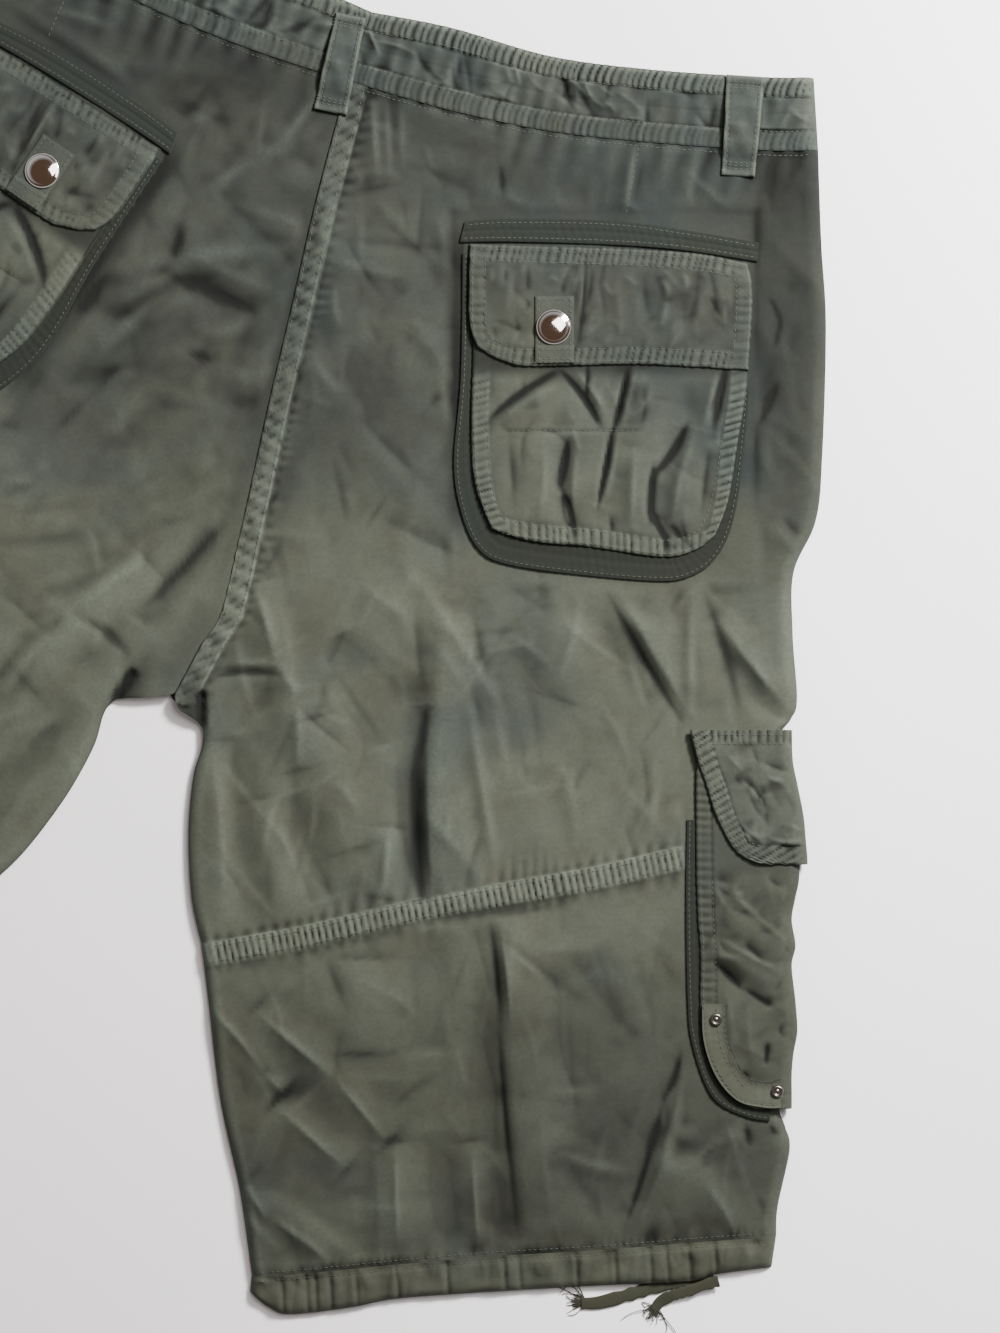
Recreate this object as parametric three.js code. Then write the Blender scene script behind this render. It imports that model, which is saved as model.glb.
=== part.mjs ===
// Long cargo shorts of garment-dyed cotton twill, laid flat on a surface with their back upwards.
// Millimetres: +X across the waist, +Y from the crotch to the waist, +Z up from the surface.
// The fronts lie underneath and are flat; the backs lie over them with their folds and pockets.
// The tables below are given on the bench of one leg: "across" runs from the crotch towards the
// outseam and "down" from the crotch towards the hem, with that leg straight down the bench.
import * as THREE from "three";

// Turns a heading and its rows into objects, so that every number keeps its column's name.
const table = (heading, ...rows) =>
  rows.map((row) => Object.fromEntries(heading.split(" ").map((name, i) => [name, row[i]])));

// The lie of the garment
const LEG_SPLAY = THREE.MathUtils.degToRad(17);
const CROTCH_BELOW_CENTRE = 65.9;

// Walls and layers
const SEAM_GAP = 0.3;
const BACK_WALL = 1.5;
const BACK_TOP = 7;
const DEEPEST_TROUGH = 2;
const FRONT_WALL = 1.6;
const POCKET_WALL = 1.2;
const TAPE_WALL = 1;
const WAIST_WALL = 3;
const WAIST_TOP = 7.6;
const FRONT_WAIST_WALL = 2.4;
const HEM_WALL = 2.4;
const HEM_FALL = 1.6;
const LAYER_LIFT = POCKET_WALL + SEAM_GAP;
const SEAM_BAND = { width: 12, rise: 0.8 };
const SEAT_CLEARANCE = 24;
const ROLL_STEPS = 3;

// About how long the pieces are, to turn a distance into a share of them
const LOWER_BACK_LENGTH = 190;
const FRONT_LENGTH = 650;
const HEM_LENGTH = 285;
const WAIST_LENGTH = 250;

// Rows of the upper back: all of them, those on the seat, and those over which its inner edge rolls
const UPPER_ROWS = { all: 24, seat: 17, roll: 3 };

// Gathers of the elasticated waist and of the drawcord hems, counted along one half or one leg
const WAIST_GATHERS = { waves: 24, rise: 0.8, rowDepth: 0.26, middleRow: 0.4, middleShare: 0.3 };
const HEM_GATHERS = { waves: 14, rise: 0.7 };
const COLUMNS_PER_WAVE = 3;

// Outline of the waist, straight from the garment's middle line
const WAIST_SEAM = table("out up",
  [56, 353], [111, 358], [164, 368], [225, 382], [253, 391]);
const WAIST_TOP_EDGE = table("out up",
  [0, 391.5], [43, 396], [99, 397], [153, 406], [213, 420], [239, 428]);
const SEAT_SEAM = table("up bow",
  [352, -2], [285, 0.5], [228, 4.6], [172, 8.3], [116, 13], [59, 17], [37, 11.4], [8, 5.7]);
const CROTCH = table("out up",
  [10, 1], [18, -1.5], [25, -5], [28, -14], [28, -31]);

// Outline of a leg on its bench
const INSEAM_UPPER = table("across down",
  [15.1, 62], [15.1, 84], [17, 108], [21.7, 129.5]);
const INSEAM_LOWER = table("across down",
  [21.7, 129.5], [25.4, 159], [31.9, 213], [42.7, 264.6], [49, 309]);
const OUTSEAM_UPPER = table("across down",
  [356.4, -299.7], [358, -250], [360.5, -205], [358.5, -135], [355, -100], [343, -72],
  [342.4, -40], [344.5, -3], [341, 8], [334.5, 20], [334.5, 65]);
const OUTSEAM_LOWER = table("across down",
  [334.5, 65], [334.5, 160], [334.5, 214], [338, 228], [340.7, 241], [334.3, 272], [333.5, 287.3]);
const KNEE_SEAM = table("across down",
  [21.7, 129.5], [75.6, 120], [129.6, 107], [183.6, 96.6], [237.6, 87], [286, 75.5], [334.5, 65]);
const HEM_SEAM = table("across down",
  [49, 309], [75.6, 307.3], [129.6, 302], [183.6, 297.5], [237.6, 294.3], [291.6, 290], [333.5, 287.3]);
const HEM_EDGE = table("across down",
  [48, 318], [58, 326], [70, 330], [102.6, 326.2], [129.6, 321.3], [183.6, 317.5], [237.6, 314.3],
  [286, 312], [300, 308.3], [331, 304.5]);
const FRONT_HEM_SHORTER = 7;
const FRONT_HEM = { rows: [0.01, 1], columns: 10 };

// The largest folds of the backs: a line on the bench, how far it bows outwards, how high it
// rises or how deep it falls, and how wide its flank is on the crotch side and on the outer side
const FOLD_COLUMNS = "across down acrossEnd downEnd bow rise inner outer";
const FOLDS = {
  right: table(FOLD_COLUMNS,
    [81, -165, 50, -70, -3, -2.5, 14, 14],
    [50, -66, 74, 35, 6, 4.5, 11, 13],
    [40, 16, 57, 125, 0, -3, 10, 11],
    [30, 20, 33, 125, 0, 3, 11, 11],
    [81, 8, 103, 78, 2, 3.5, 14, 16],
    [53, 51, 66, 118, 0, 3, 10, 11],
    [70, 48, 89, 105, 2, -2.5, 12, 14],
    [100, -40, 122, 22, -2, -2.5, 12, 13],
    [141, 0, 141, 108, -5, -3.5, 9, 10],
    [163, -84, 155, 112, -7, 6.5, 11, 20],
    [226, -55, 210, -5, 0, 4, 14, 16],
    [186, -30, 201, 46, 3, -3, 14, 16],
    [124, 66, 120, 104, 0, 3, 10, 10],
    [247, -75, 294, 14, 0, 5.5, 10, 18],
    [232, -60, 276, 12, 0, -2.5, 10, 10],
    [300, -50, 343, 4, 0, 4, 10, 12],
    [112, -330, 118, -280, 0, 2.5, 9, 9],
    [24, 162, 66, 209, 0, 3, 10, 11],
    [51, 165, 123, 236, 5, 3.5, 11, 12],
    [40, 176, 76, 214, 0, -2.5, 12, 12],
    [62, 216, 101, 250, 0, 3, 10, 10],
    [46, 259, 95, 303, 3, 3, 10, 10],
    [108, 137, 109, 188, 0, 3, 14, 16],
    [143, 121, 146, 188, 0, -3, 16, 16],
    [186, 112, 204, 296, -3, 6.5, 11, 22],
    [175, 118, 184, 290, -3, -2.5, 10, 10],
    [220, 132, 223, 208, -3, -3, 13, 14],
    [290, 190, 258, 292, 4, 5.5, 10, 18],
    [120, 202, 119, 270, 0, -3, 14, 15],
    [127, 236, 128, 300, 0, 3, 10, 10],
    [168, 236, 172, 296, 0, 3, 9, 10],
    [146, 230, 158, 297, 0, -2.5, 10, 10],
    [292, 250, 312, 290, 0, 2.5, 10, 10]),
  left: table(FOLD_COLUMNS,
    [137, -194, 71, -206, 0, -2.5, 11, 11],
    [130, -212, 70, -224, 0, 3, 10, 12],
    [33, -30, 27, -108, 0, -2.5, 10, 10],
    [46, -60, 66, 30, 4, 4, 12, 13],
    [38, 22, 50, 120, 0, -2.5, 11, 11],
    [86, 0, 98, 84, 3, 3.5, 14, 16],
    [148, -20, 138, 106, -4, 6, 12, 20],
    [128, -4, 124, 100, -3, -3, 10, 10],
    [214, -58, 206, 6, 0, 4, 15, 16],
    [236, -50, 282, 16, 0, 5, 11, 18],
    [190, -24, 198, 60, 2, -3, 14, 15],
    [298, -44, 338, 2, 0, 3.5, 11, 12],
    [36, 170, 84, 222, 3, 3, 12, 12],
    [70, 150, 128, 210, 4, 3, 12, 13],
    [172, 120, 190, 292, 3, 6, 12, 20],
    [160, 130, 170, 280, 3, -2.5, 11, 11],
    [272, 196, 244, 290, -3, 5, 11, 18],
    [112, 214, 118, 292, 0, -2.5, 13, 14],
    [140, 220, 146, 298, 0, 3, 11, 11]),
};

// Bench boxes in which a pocket lies on the back, so that the cloth below it is flat
const POCKET_ZONES = table("across down acrossEnd downEnd",
  [159, -266, 322, -67], [284, 12, 350, 225]);
const POCKET_ZONE_MARGIN = { flat: 15, clear: 32 };

// Height of the lower edge of the backs where the side pocket passes underneath
const SIDE_LIFT = table("down lift",
  [-30, 0], [-6, 2 * LAYER_LIFT], [106, 2 * LAYER_LIFT], [126, LAYER_LIFT], [236, LAYER_LIFT], [256, 0]);

// Fronts: rows and columns of the wall, and the steps that leave room for what lies below them
const FRONT_COLUMNS = [0, 0.05, 0.1, 0.17, 0.25, 0.45, 0.56, 0.64, 0.82, 1];
const FRONT_ROWS = [0, 0.13, 0.2, 0.27, 0.34, 0.38, 0.42, 0.47, 0.51, 0.6, 0.69, 0.74, 0.84, 0.92, 0.97, 1];
const FRONT_FLY_LIFT = { column: [0.17, 0.25], row: [0.27, 0.34] };
const FRONT_POCKET_LIFT = { column: [0.56, 0.64], row: [0.47, 0.51, 0.69, 0.74, 0.92, 0.97] };
const FRONT_INSET = { plain: 3.4, pocket: 9.5, start: [0.5, 0.56] };
const FRONT_SEAT_SHARE = 0.51;
const FRONT_HEM_MARGIN = HEM_WALL + 2.6;
const FRONT_WAIST_MARGIN = WAIST_WALL + 1.4;
const FRONT_WAIST_ROWS = [0, 0.5, 0.985];

// Fly and waist button
const FLY = { width: 38, length: 165, corner: 26, overlap: 1 };
const WAIST_BUTTON = { radius: 8.5, height: 1.2, up: 370, sides: 20 };
const BUTTON_LIFT = { full: 12, clear: 24 };

// Belt loops: middle of the upper and of the lower end, and the width at both
const BELT_LOOP_WALL = 1.5;
const BELT_LOOP_STEP = [0.64, 0.9];
const BELT_LOOPS = {
  centre: { out: -10, up: 386, outEnd: -5.5, upEnd: 333, width: 16.5, widthEnd: 18, seam: SEAM_BAND.rise },
  side: { out: 203, up: 417, outEnd: 215, upEnd: 364.5, width: 20.5, widthEnd: 18, seam: 0 },
};
const BELT_LOOP_HEIGHTS = table("along height",
  [0, 0.3], [0.12, 0.5], [0.3, 2.2], [0.5, 2.7], [0.66, 2], [0.82, 0.5], [1, 0.3]);

// Back pocket
const POCKET_TOP_TAPE = {
  upper: table("across down", [164.7, -261], [189, -262.4], [243, -261.4], [282, -256.5], [323.5, -249.5]),
  lower: table("across down", [162, -249.8], [189, -250.2], [243, -248.6], [282, -245.6], [322.5, -239.4]),
};
const POCKET_GUSSET = table("across down width",
  [163.5, -244, 10], [162.5, -178, 12], [158.8, -132, 15], [162.5, -105, 17], [171.7, -84.8, 18],
  [188, -76, 18], [230.6, -70, 18], [270, -67, 17], [286, -69.5, 17], [299, -78, 16], [308, -94.5, 13],
  [314, -124, 10], [318.5, -170, 8]);
const POCKET_BODY = {
  top: table("across down", [169, -236], [243, -233], [316.4, -225]),
  bottom: table("across down",
    [179, -95], [199.8, -88.6], [235, -85], [271.6, -80], [290, -84], [299.7, -91.8]),
  left: table("across down", [169, -236], [169, -190], [168, -152], [170, -120], [179, -95]),
  right: table("across down", [316.4, -225], [317.5, -180], [312, -143], [306.7, -110.7], [299.7, -91.8]),
};
const POCKET_PUFF = 2.6;
const POCKET_FACE = { left: 168, top: -236, width: 149, length: 150 };
const POCKET_FOLD_START = [-176, -160];
const TOP_TAPE = { rows: [0, 0.25, 0.75, 1], columns: 6, bulge: 0.3 };
const POCKET_FOLDS = table(FOLD_COLUMNS,
  [253, -178, 236, -108, 0, -1.6, 8, 8],
  [283, -150, 272, -84, -4, -2.2, 9, 9],
  [220, -145, 222, -90, -4, -2, 8, 9],
  [268, -165, 256, -92, 0, 1.6, 11, 12],
  [200, -160, 202, -98, 0, 1.4, 12, 12]);
const POCKET_FLAP = {
  top: table("across down", [167.4, -249], [221.4, -247.3], [259, -246], [291.6, -243.5], [317.5, -238.4]),
  bottom: table("across down",
    [171.5, -193], [178, -188.5], [186, -185], [200, -182.5], [251.6, -183.4], [282, -182.5],
    [317.5, -180.4]),
  left: table("across down", [167.4, -249], [166.9, -208], [171.5, -193]),
  right: table("across down", [317.5, -238.4], [319.7, -218.7], [317.5, -180.4]),
};
const FLAP_HINGE = { drop: 2.3, share: 0.16 };
const FLAP_ROWS = [0, FLAP_HINGE.share / 2, FLAP_HINGE.share, 0.4, 0.7, 1];
const SNAP_TAB = { across: [202.5, 223.5], down: [-220.3, -184] };
const SNAP_CAP = { across: 212.5, down: -203.3, radius: 9.4, height: 2.8, sides: 14 };

// Side pocket, which wraps round the outseam: sections down the leg, with its edge on the back,
// its edge below the front and the silhouette that it makes
const SIDE_TURN = 7;
const SIDE_POCKET = table("down edge under silhouette foot",
  [24, 290, 252, 339.6, LAYER_LIFT], [44, 289.4, 250, 342, LAYER_LIFT], [66, 289.4, 250, 345, LAYER_LIFT],
  [92, 289.6, 250, 345.5, LAYER_LIFT], [104, 290, 250, 343.5, 0], [116, 290.4, 250, 341.5, 0],
  [130, 291.4, 250, 343.5, 0], [141, 291.6, 250, 341.5, 0], [160, 291.6, 250, 343.5, 0],
  [176, 292.6, 250, 344.5, 0], [188, 295, 253, 342.5, 0], [199, 300, 259, 341.5, 0],
  [209, 307, 267, 341.5, 0], [215, 314, 277, 341.5, 0], [218, 322, 288, 341.5, 0]);
const SIDE_POCKET_FOLDS = table(FOLD_COLUMNS,
  [300, 108, 336, 134, 0, 2.2, 7, 8],
  [296, 128, 334, 150, 0, 2.4, 7, 8],
  [300, 138, 328, 164, 0, -1, 6, 6]);
const SIDE_FLAP = table("down edge under silhouette foot",
  [13.5, 286, 246, 341.5, 0], [30, 290, 247, 342, 0], [43, 294.5, 248, 344.5, 0],
  [60, 300, 251, 347.8, 0], [75, 307.8, 258, 349.2, 0], [82, 314.5, 268, 349.8, 0],
  [86, 326, 288, 350, 0]);
const SIDE_GUSSET = table("across down width",
  [284.5, 62, 10], [284, 107, 10], [285, 161, 11], [287, 181, 12], [294, 203.6, 14], [302.4, 215.5, 14],
  [317.5, 222.5, 14], [329, 224.5, 14]);
const CORNER_STRAP = table("across down width",
  [292.6, 161.5, 13.5], [293.4, 181, 13.5], [300, 200, 13.5], [311.5, 213, 13.5], [326, 216.8, 14],
  [335, 217, 16]);
const STRAP_FALL = { drop: 1.2, across: [334, 342] };
const RIBBON_STEPS = { gusset: 20, sideGusset: 16, strap: 10 };
const SIDE_SNAP = { radius: 3.3, height: 1.3, sides: 9 };
const SIDE_SNAPS = table("name across down",
  ["upper", 300, 169.3], ["lower", 333, 208]);

// Flat drawcords that leave the hem casing beside the outseam
const CORDS = {
  drawcord_long: { width: 7, wall: 1.6, route: table("across down height",
    [299, 308.6, 1.9], [293, 310.4, 1.2], [286.2, 312, 0.85], [270, 315, 0.85], [253.8, 319.7, 0.85],
    [237.6, 324, 0.85], [227.9, 324.5, 0.85]) },
  drawcord_short: { width: 6, wall: 1.4, route: table("across down height",
    [302, 311.8, 3.7], [293, 314.6, 3], [286.2, 317.2, 2.75], [278, 319.6, 2.3],
    [271, 323.2, 1], [267.3, 327.8, 0.75]) },
};
const CORD_STEPS = 9;
const CORD_FLAT_SHARE = 0.37;

// Finishes
const finish = (color, roughness, metalness = 0) =>
  new THREE.MeshStandardMaterial({ color, roughness, metalness });
const TWILL = () => finish("#5e6659", 0.9);
const TAPE = () => finish("#42463c", 0.85);
const CHROME = () => finish("#c9ccd0", 0.2, 1);
const CORD_COTTON = () => finish("#6b6f64", 0.9);
const HORN = () => finish("#3c3a34", 0.5);

const garment = new THREE.Group();

// Places in plan
const point = (out, up) => new THREE.Vector2(out, up - CROTCH_BELOW_CENTRE);

function fromBench(across, down) {
  const out = across * Math.cos(LEG_SPLAY) + down * Math.sin(LEG_SPLAY);
  const up = across * Math.sin(LEG_SPLAY) - down * Math.cos(LEG_SPLAY);
  return point(out, up);
}

function toBench(place) {
  const up = place.y + CROTCH_BELOW_CENTRE;
  return {
    across: place.x * Math.cos(LEG_SPLAY) + up * Math.sin(LEG_SPLAY),
    down: place.x * Math.sin(LEG_SPLAY) - up * Math.cos(LEG_SPLAY),
  };
}

const benchPoints = (rows) => rows.map((row) => fromBench(row.across, row.down));

// A smooth line through plan points, read by its share of the whole length.
function line(points) {
  const spline = new THREE.SplineCurve(points);
  return (share) => spline.getPointAt(share);
}

// The surface spanned by four edges, which meet at their ends.
function patch({ top, bottom, left, right }) {
  const corners = [top(0), top(1), bottom(0), bottom(1)];
  return (u, v) => {
    const place = new THREE.Vector2();
    place.addScaledVector(left(v), 1 - u).addScaledVector(right(v), u);
    place.addScaledVector(top(u), 1 - v).addScaledVector(bottom(u), v);
    place.addScaledVector(corners[0], -(1 - u) * (1 - v)).addScaledVector(corners[1], -u * (1 - v));
    place.addScaledVector(corners[2], -(1 - u) * v).addScaledVector(corners[3], -u * v);
    return place;
  };
}

const { smoothstep, lerp, clamp } = THREE.MathUtils;

// A value read from the rows of a table, with straight runs between them.
function read(rows, key, column, at) {
  const next = rows.findIndex((row) => row[key] >= at);
  if (next === 0) return rows[0][column];
  if (next < 0) return rows.at(-1)[column];
  const [before, after] = [rows[next - 1], rows[next]];
  return lerp(before[column], after[column], (at - before[key]) / (after[key] - before[key]));
}

const evenShares = (count) => Array.from({ length: count + 1 }, (_, i) => i / count);

// Folds: each is a bell across its line, with a flank of its own on either side, and fades at
// both ends.
function foldHeight(folds, { across, down }) {
  let height = 0;
  for (const fold of folds) {
    const run = new THREE.Vector2(fold.acrossEnd - fold.across, fold.downEnd - fold.down);
    const length = run.length();
    run.divideScalar(length);
    const place = new THREE.Vector2(across - fold.across, down - fold.down);
    const share = place.dot(run) / length;
    if (share <= 0 || share >= 1) continue;
    const aside = place.x * run.y - place.y * run.x - fold.bow * 4 * share * (1 - share);
    const flank = aside < 0 ? fold.inner : fold.outer;
    height += fold.rise * Math.exp(-((aside / flank) ** 2)) * Math.sin(Math.PI * share) ** 0.6;
  }
  return height;
}

// How far a place lies under a pocket: 1 below it and 0 well clear of it.
function underPocket({ across, down }) {
  return Math.max(...POCKET_ZONES.map((zone) => {
    const aside = Math.max(zone.across - across, across - zone.acrossEnd, 0);
    const along = Math.max(zone.down - down, down - zone.downEnd, 0);
    return 1 - smoothstep(Math.hypot(aside, along), POCKET_ZONE_MARGIN.flat, POCKET_ZONE_MARGIN.clear);
  }));
}

// Adds the triangles that join two lines of points which start and end side by side.
function joinLines(faces, first, second) {
  let [i, j] = [0, 0];
  while (i < first.length - 1 || j < second.length - 1) {
    const firstNext = (i + 1) / (first.length - 1);
    const secondNext = (j + 1) / (second.length - 1);
    if (firstNext <= secondNext) {
      faces.push(first[i], first[i + 1], second[j]);
      i += 1;
    } else {
      faces.push(first[i], second[j + 1], second[j]);
      j += 1;
    }
  }
}

// A closed cloth wall between an outer and an inner grid of points. Both have the same rows,
// and the inner one may have fewer columns. Rows run down the cloth, columns across it.
function wall(outer, inner) {
  const positions = [];
  const faces = [];
  const number = (grid) => grid.map((row) => row.map((p) => positions.push(p.x, p.y, p.z) / 3 - 1));
  const [face, back] = [number(outer), number(inner)];
  for (let j = 0; j < face.length - 1; j += 1) {
    for (let i = 0; i < face[j].length - 1; i += 1) {
      const [a, b, c, d] = [face[j][i], face[j + 1][i], face[j][i + 1], face[j + 1][i + 1]];
      faces.push(a, b, c, c, b, d);
    }
    for (let i = 0; i < back[j].length - 1; i += 1) {
      const [a, b, c, d] = [back[j][i], back[j + 1][i], back[j][i + 1], back[j + 1][i + 1]];
      faces.push(a, c, b, c, d, b);
    }
  }
  const column = (grid, i) => grid.map((row) => row.at(i));
  joinLines(faces, face[0], back[0]);
  joinLines(faces, face.at(-1).toReversed(), back.at(-1).toReversed());
  joinLines(faces, column(face, 0).toReversed(), column(back, 0).toReversed());
  joinLines(faces, column(face, -1), column(back, -1));
  const geometry = new THREE.BufferGeometry();
  geometry.setAttribute("position", new THREE.Float32BufferAttribute(positions, 3));
  geometry.setIndex(faces);
  return geometry;
}

const at = (place, height) => new THREE.Vector3(place.x, place.y, height);

// The same piece for the other side of the garment.
function mirrored(geometry) {
  const plain = geometry.index ? geometry : toIndexed(geometry);
  plain.scale(-1, 1, 1);
  const faces = plain.index.array;
  for (let k = 0; k < faces.length; k += 3) [faces[k + 1], faces[k + 2]] = [faces[k + 2], faces[k + 1]];
  return plain;
}

function toIndexed(geometry) {
  const count = geometry.attributes.position.count;
  geometry.setIndex([...Array(count).keys()]);
  return geometry;
}

function add(name, geometry, material, side = null) {
  const placed = side === "left" ? mirrored(geometry) : geometry;
  const mesh = new THREE.Mesh(placed, material);
  mesh.name = side ? `${name}_${side}` : name;
  mesh.geometry.computeVertexNormals();
  garment.add(mesh);
}

// Panels that roll down to the surface at their sides
function rolledColumns(middle) {
  const turns = evenShares(ROLL_STEPS).slice(0, -1);
  return [
    ...turns.map((turn) => ({ edge: "inner", turn })),
    ...evenShares(middle).map((share) => ({ edge: "none", share })),
    ...turns.toReversed().map((turn) => ({ edge: "outer", turn })),
  ];
}

function rolledPoint(panel, column, v, depth) {
  const width = panel.place(0, v).distanceTo(panel.place(1, v));
  const reach = panel.place(0.5, 0).distanceTo(panel.place(0.5, 1));
  const row = lerp(SEAM_GAP / 2 / reach, 1 - SEAM_GAP / 2 / reach, v);
  const radius = BACK_TOP;
  let u = (radius + (width - 2 * radius) * column.share) / width;
  let rise = 1;
  if (column.edge !== "none") {
    const angle = (column.turn * Math.PI) / 2;
    const roll = column.edge === "inner" ? panel.innerRoll(v) : 1;
    const inset = lerp(radius * column.turn, radius - (radius - depth) * Math.cos(angle), roll);
    u = column.edge === "inner" ? inset / width : 1 - inset / width;
    rise = lerp(1, Math.sin(angle), roll);
  }
  const place = panel.place(u, row);
  const foot = read(SIDE_LIFT, "down", "lift", toBench(place).down);
  const top = panel.height({ place, u, v: row, inset: u * width, depth }) - depth;
  return at(place, foot + (top - foot) * rise);
}

function rolledPanel(panel) {
  const grid = (middle, depth) =>
    panel.rows.map((v) => rolledColumns(middle).map((column) => rolledPoint(panel, column, v, depth)));
  return wall(grid(panel.columns, 0), grid(panel.columns / (panel.innerStep ?? 1), panel.wall));
}

const clothHeight = (side, bench) =>
  BACK_TOP + Math.max(-DEEPEST_TROUGH, foldHeight(FOLDS[side], bench) * (1 - underPocket(bench)));

// Edges of the panels
const sign = { right: 1, left: -1 };

function seatPoints(side) {
  return SEAT_SEAM.map(({ up, bow }) => point(sign[side] * bow + SEAM_GAP / 2, up));
}

const middlePoints = () => SEAT_SEAM.map(({ up }) => point(SEAM_GAP / 2, up));

// The inner edge of one half: the middle seam down to a share of the rows, then the leg.
function innerEdge(middle, leg, rowShare) {
  const seam = line(middle);
  const inseam = line([middle.at(-1), ...CROTCH.map(({ out, up }) => point(out, up)), ...leg]);
  return (v) => (v < rowShare ? seam(v / rowShare) : inseam((v - rowShare) / (1 - rowShare)));
}

const waistSeam = (start) => line([start, ...WAIST_SEAM.map(({ out, up }) => point(out, up))]);
const waistCorner = () => point(WAIST_SEAM.at(-1).out, WAIST_SEAM.at(-1).up);

function backUpper(side, columns) {
  const { all, seat: seatRows, roll } = UPPER_ROWS;
  const seat = seatPoints(side);
  const place = patch({
    top: waistSeam(seat[0]),
    bottom: line(benchPoints(KNEE_SEAM)),
    left: innerEdge(seat, benchPoints(INSEAM_UPPER), seatRows / all),
    right: line([waistCorner(), ...benchPoints(OUTSEAM_UPPER).slice(1)]),
  });
  const innerRoll = (v) => smoothstep(v, seatRows / all, (seatRows + roll) / all);
  const height = ({ place: spot, v, inset }) => {
    const onLeg = innerRoll(v);
    const clearOfSeat = lerp(smoothstep(inset, 0, SEAT_CLEARANCE), 1, onLeg);
    const band = side === "right" && inset < SEAM_BAND.width ? SEAM_BAND.rise * (1 - onLeg) : 0;
    return BACK_TOP + (clothHeight(side, toBench(spot)) - BACK_TOP) * clearOfSeat + band;
  };
  const panel = { place, rows: evenShares(all), columns, wall: BACK_WALL, innerRoll, height };
  add("back_upper", rolledPanel(panel), TWILL(), side);
}

function backLower(side, columns, rowCount) {
  const place = patch({
    top: line(benchPoints(KNEE_SEAM)),
    bottom: line(benchPoints(HEM_SEAM)),
    left: line(benchPoints(INSEAM_LOWER)),
    right: line(benchPoints(OUTSEAM_LOWER)),
  });
  const bandShare = SEAM_BAND.width / LOWER_BACK_LENGTH;
  const rows = [0, bandShare, bandShare * 1.2, ...evenShares(rowCount).slice(2)];
  const height = ({ place: spot, v }) => {
    const bench = toBench(spot);
    const band = v <= bandShare + 0.01 ? SEAM_BAND.rise * (1 - underPocket(bench)) : 0;
    return clothHeight(side, bench) + band;
  };
  add("back_lower", rolledPanel({ place, rows, columns, wall: BACK_WALL, innerRoll: () => 1, height }),
    TWILL(), side);
}

function hemBack(side) {
  const place = patch({
    top: line(benchPoints(HEM_SEAM)),
    bottom: line(benchPoints(HEM_EDGE)),
    left: line([benchPoints(HEM_SEAM)[0], benchPoints(HEM_EDGE)[0]]),
    right: line([benchPoints(HEM_SEAM).at(-1), benchPoints(HEM_EDGE).at(-1)]),
  });
  const height = ({ u, v, depth }) => {
    const gather = Math.cos(2 * Math.PI * HEM_GATHERS.waves * u) * Math.sin(Math.PI * v) ** 0.5;
    return BACK_TOP - HEM_FALL * v + (depth > 0 ? 0 : HEM_GATHERS.rise * gather);
  };
  const columns = HEM_GATHERS.waves * COLUMNS_PER_WAVE;
  const panel = { place, rows: [0, 0.3, 0.7, 1], columns, innerStep: COLUMNS_PER_WAVE, wall: HEM_WALL };
  add("hem_back", rolledPanel({ ...panel, innerRoll: () => 1, height }), TWILL(), side);
}

function waistbandBack(side) {
  const seam = waistSeam(seatPoints(side)[0]);
  const edge = line(WAIST_TOP_EDGE.map(({ out, up }) => point(out + SEAM_GAP / 2, up)));
  const place = patch({
    top: edge, bottom: seam, left: line([edge(0), seam(0)]), right: line([edge(1), seam(1)]),
  });
  const { waves, rise, rowDepth, middleRow, middleShare } = WAIST_GATHERS;
  const height = ({ u, v, depth }) => {
    const gathered = v <= rowDepth || v >= 1 - rowDepth ? 1 : middleShare;
    return WAIST_TOP + (depth > 0 ? 0 : rise * gathered * Math.cos(2 * Math.PI * waves * u));
  };
  const rows = [0, rowDepth, middleRow, 1 - rowDepth, 1];
  const panel = { place, rows, columns: waves * COLUMNS_PER_WAVE, innerStep: COLUMNS_PER_WAVE };
  add("waistband_back", rolledPanel({ ...panel, wall: WAIST_WALL, innerRoll: () => 0, height }),
    TWILL(), side);
}

// Fronts, flat below the backs
const plateau = (value, [rise, full, fall, clear]) =>
  smoothstep(value, rise, full) * (1 - smoothstep(value, fall, clear));

function frontLift(u, v) {
  const fly = 1 - Math.max(smoothstep(u, ...FRONT_FLY_LIFT.column), smoothstep(v, ...FRONT_FLY_LIFT.row));
  const [rise, full, flapEnd, bodyStart, bodyEnd, clear] = FRONT_POCKET_LIFT.row;
  const aside = smoothstep(u, ...FRONT_POCKET_LIFT.column);
  const body = aside * plateau(v, [rise, full, bodyEnd, clear]);
  const flap = aside * plateau(v, [rise, full, flapEnd, bodyStart]);
  return LAYER_LIFT * Math.max(fly, body + flap);
}

function front(side) {
  const place = patch({
    top: waistSeam(middlePoints()[0]),
    bottom: line(benchPoints(HEM_SEAM)),
    left: innerEdge(
      middlePoints(), benchPoints([...INSEAM_UPPER, ...INSEAM_LOWER.slice(1)]), FRONT_SEAT_SHARE),
    right: line([waistCorner(), ...benchPoints([...OUTSEAM_UPPER.slice(1), ...OUTSEAM_LOWER.slice(1)])]),
  });
  const end = SEAM_GAP / 2 / FRONT_LENGTH;
  const grid = (depth) => FRONT_ROWS.map((v) => FRONT_COLUMNS.map((u) => {
    const width = place(0, v).distanceTo(place(1, v));
    const besidePocket = v > FRONT_POCKET_LIFT.row[0] - 0.01 && v < FRONT_POCKET_LIFT.row[5] + 0.01;
    const inset = FRONT_INSET.plain * smoothstep(v, ...FRONT_INSET.start);
    const outset = besidePocket ? FRONT_INSET.pocket : FRONT_INSET.plain;
    const spot = place(lerp(inset / width, 1 - outset / width, u), lerp(end, 1 - end, v));
    return at(spot, frontLift(u, v) + depth);
  }));
  add("front", wall(grid(FRONT_WALL), grid(0)), TWILL(), side);
}

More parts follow.
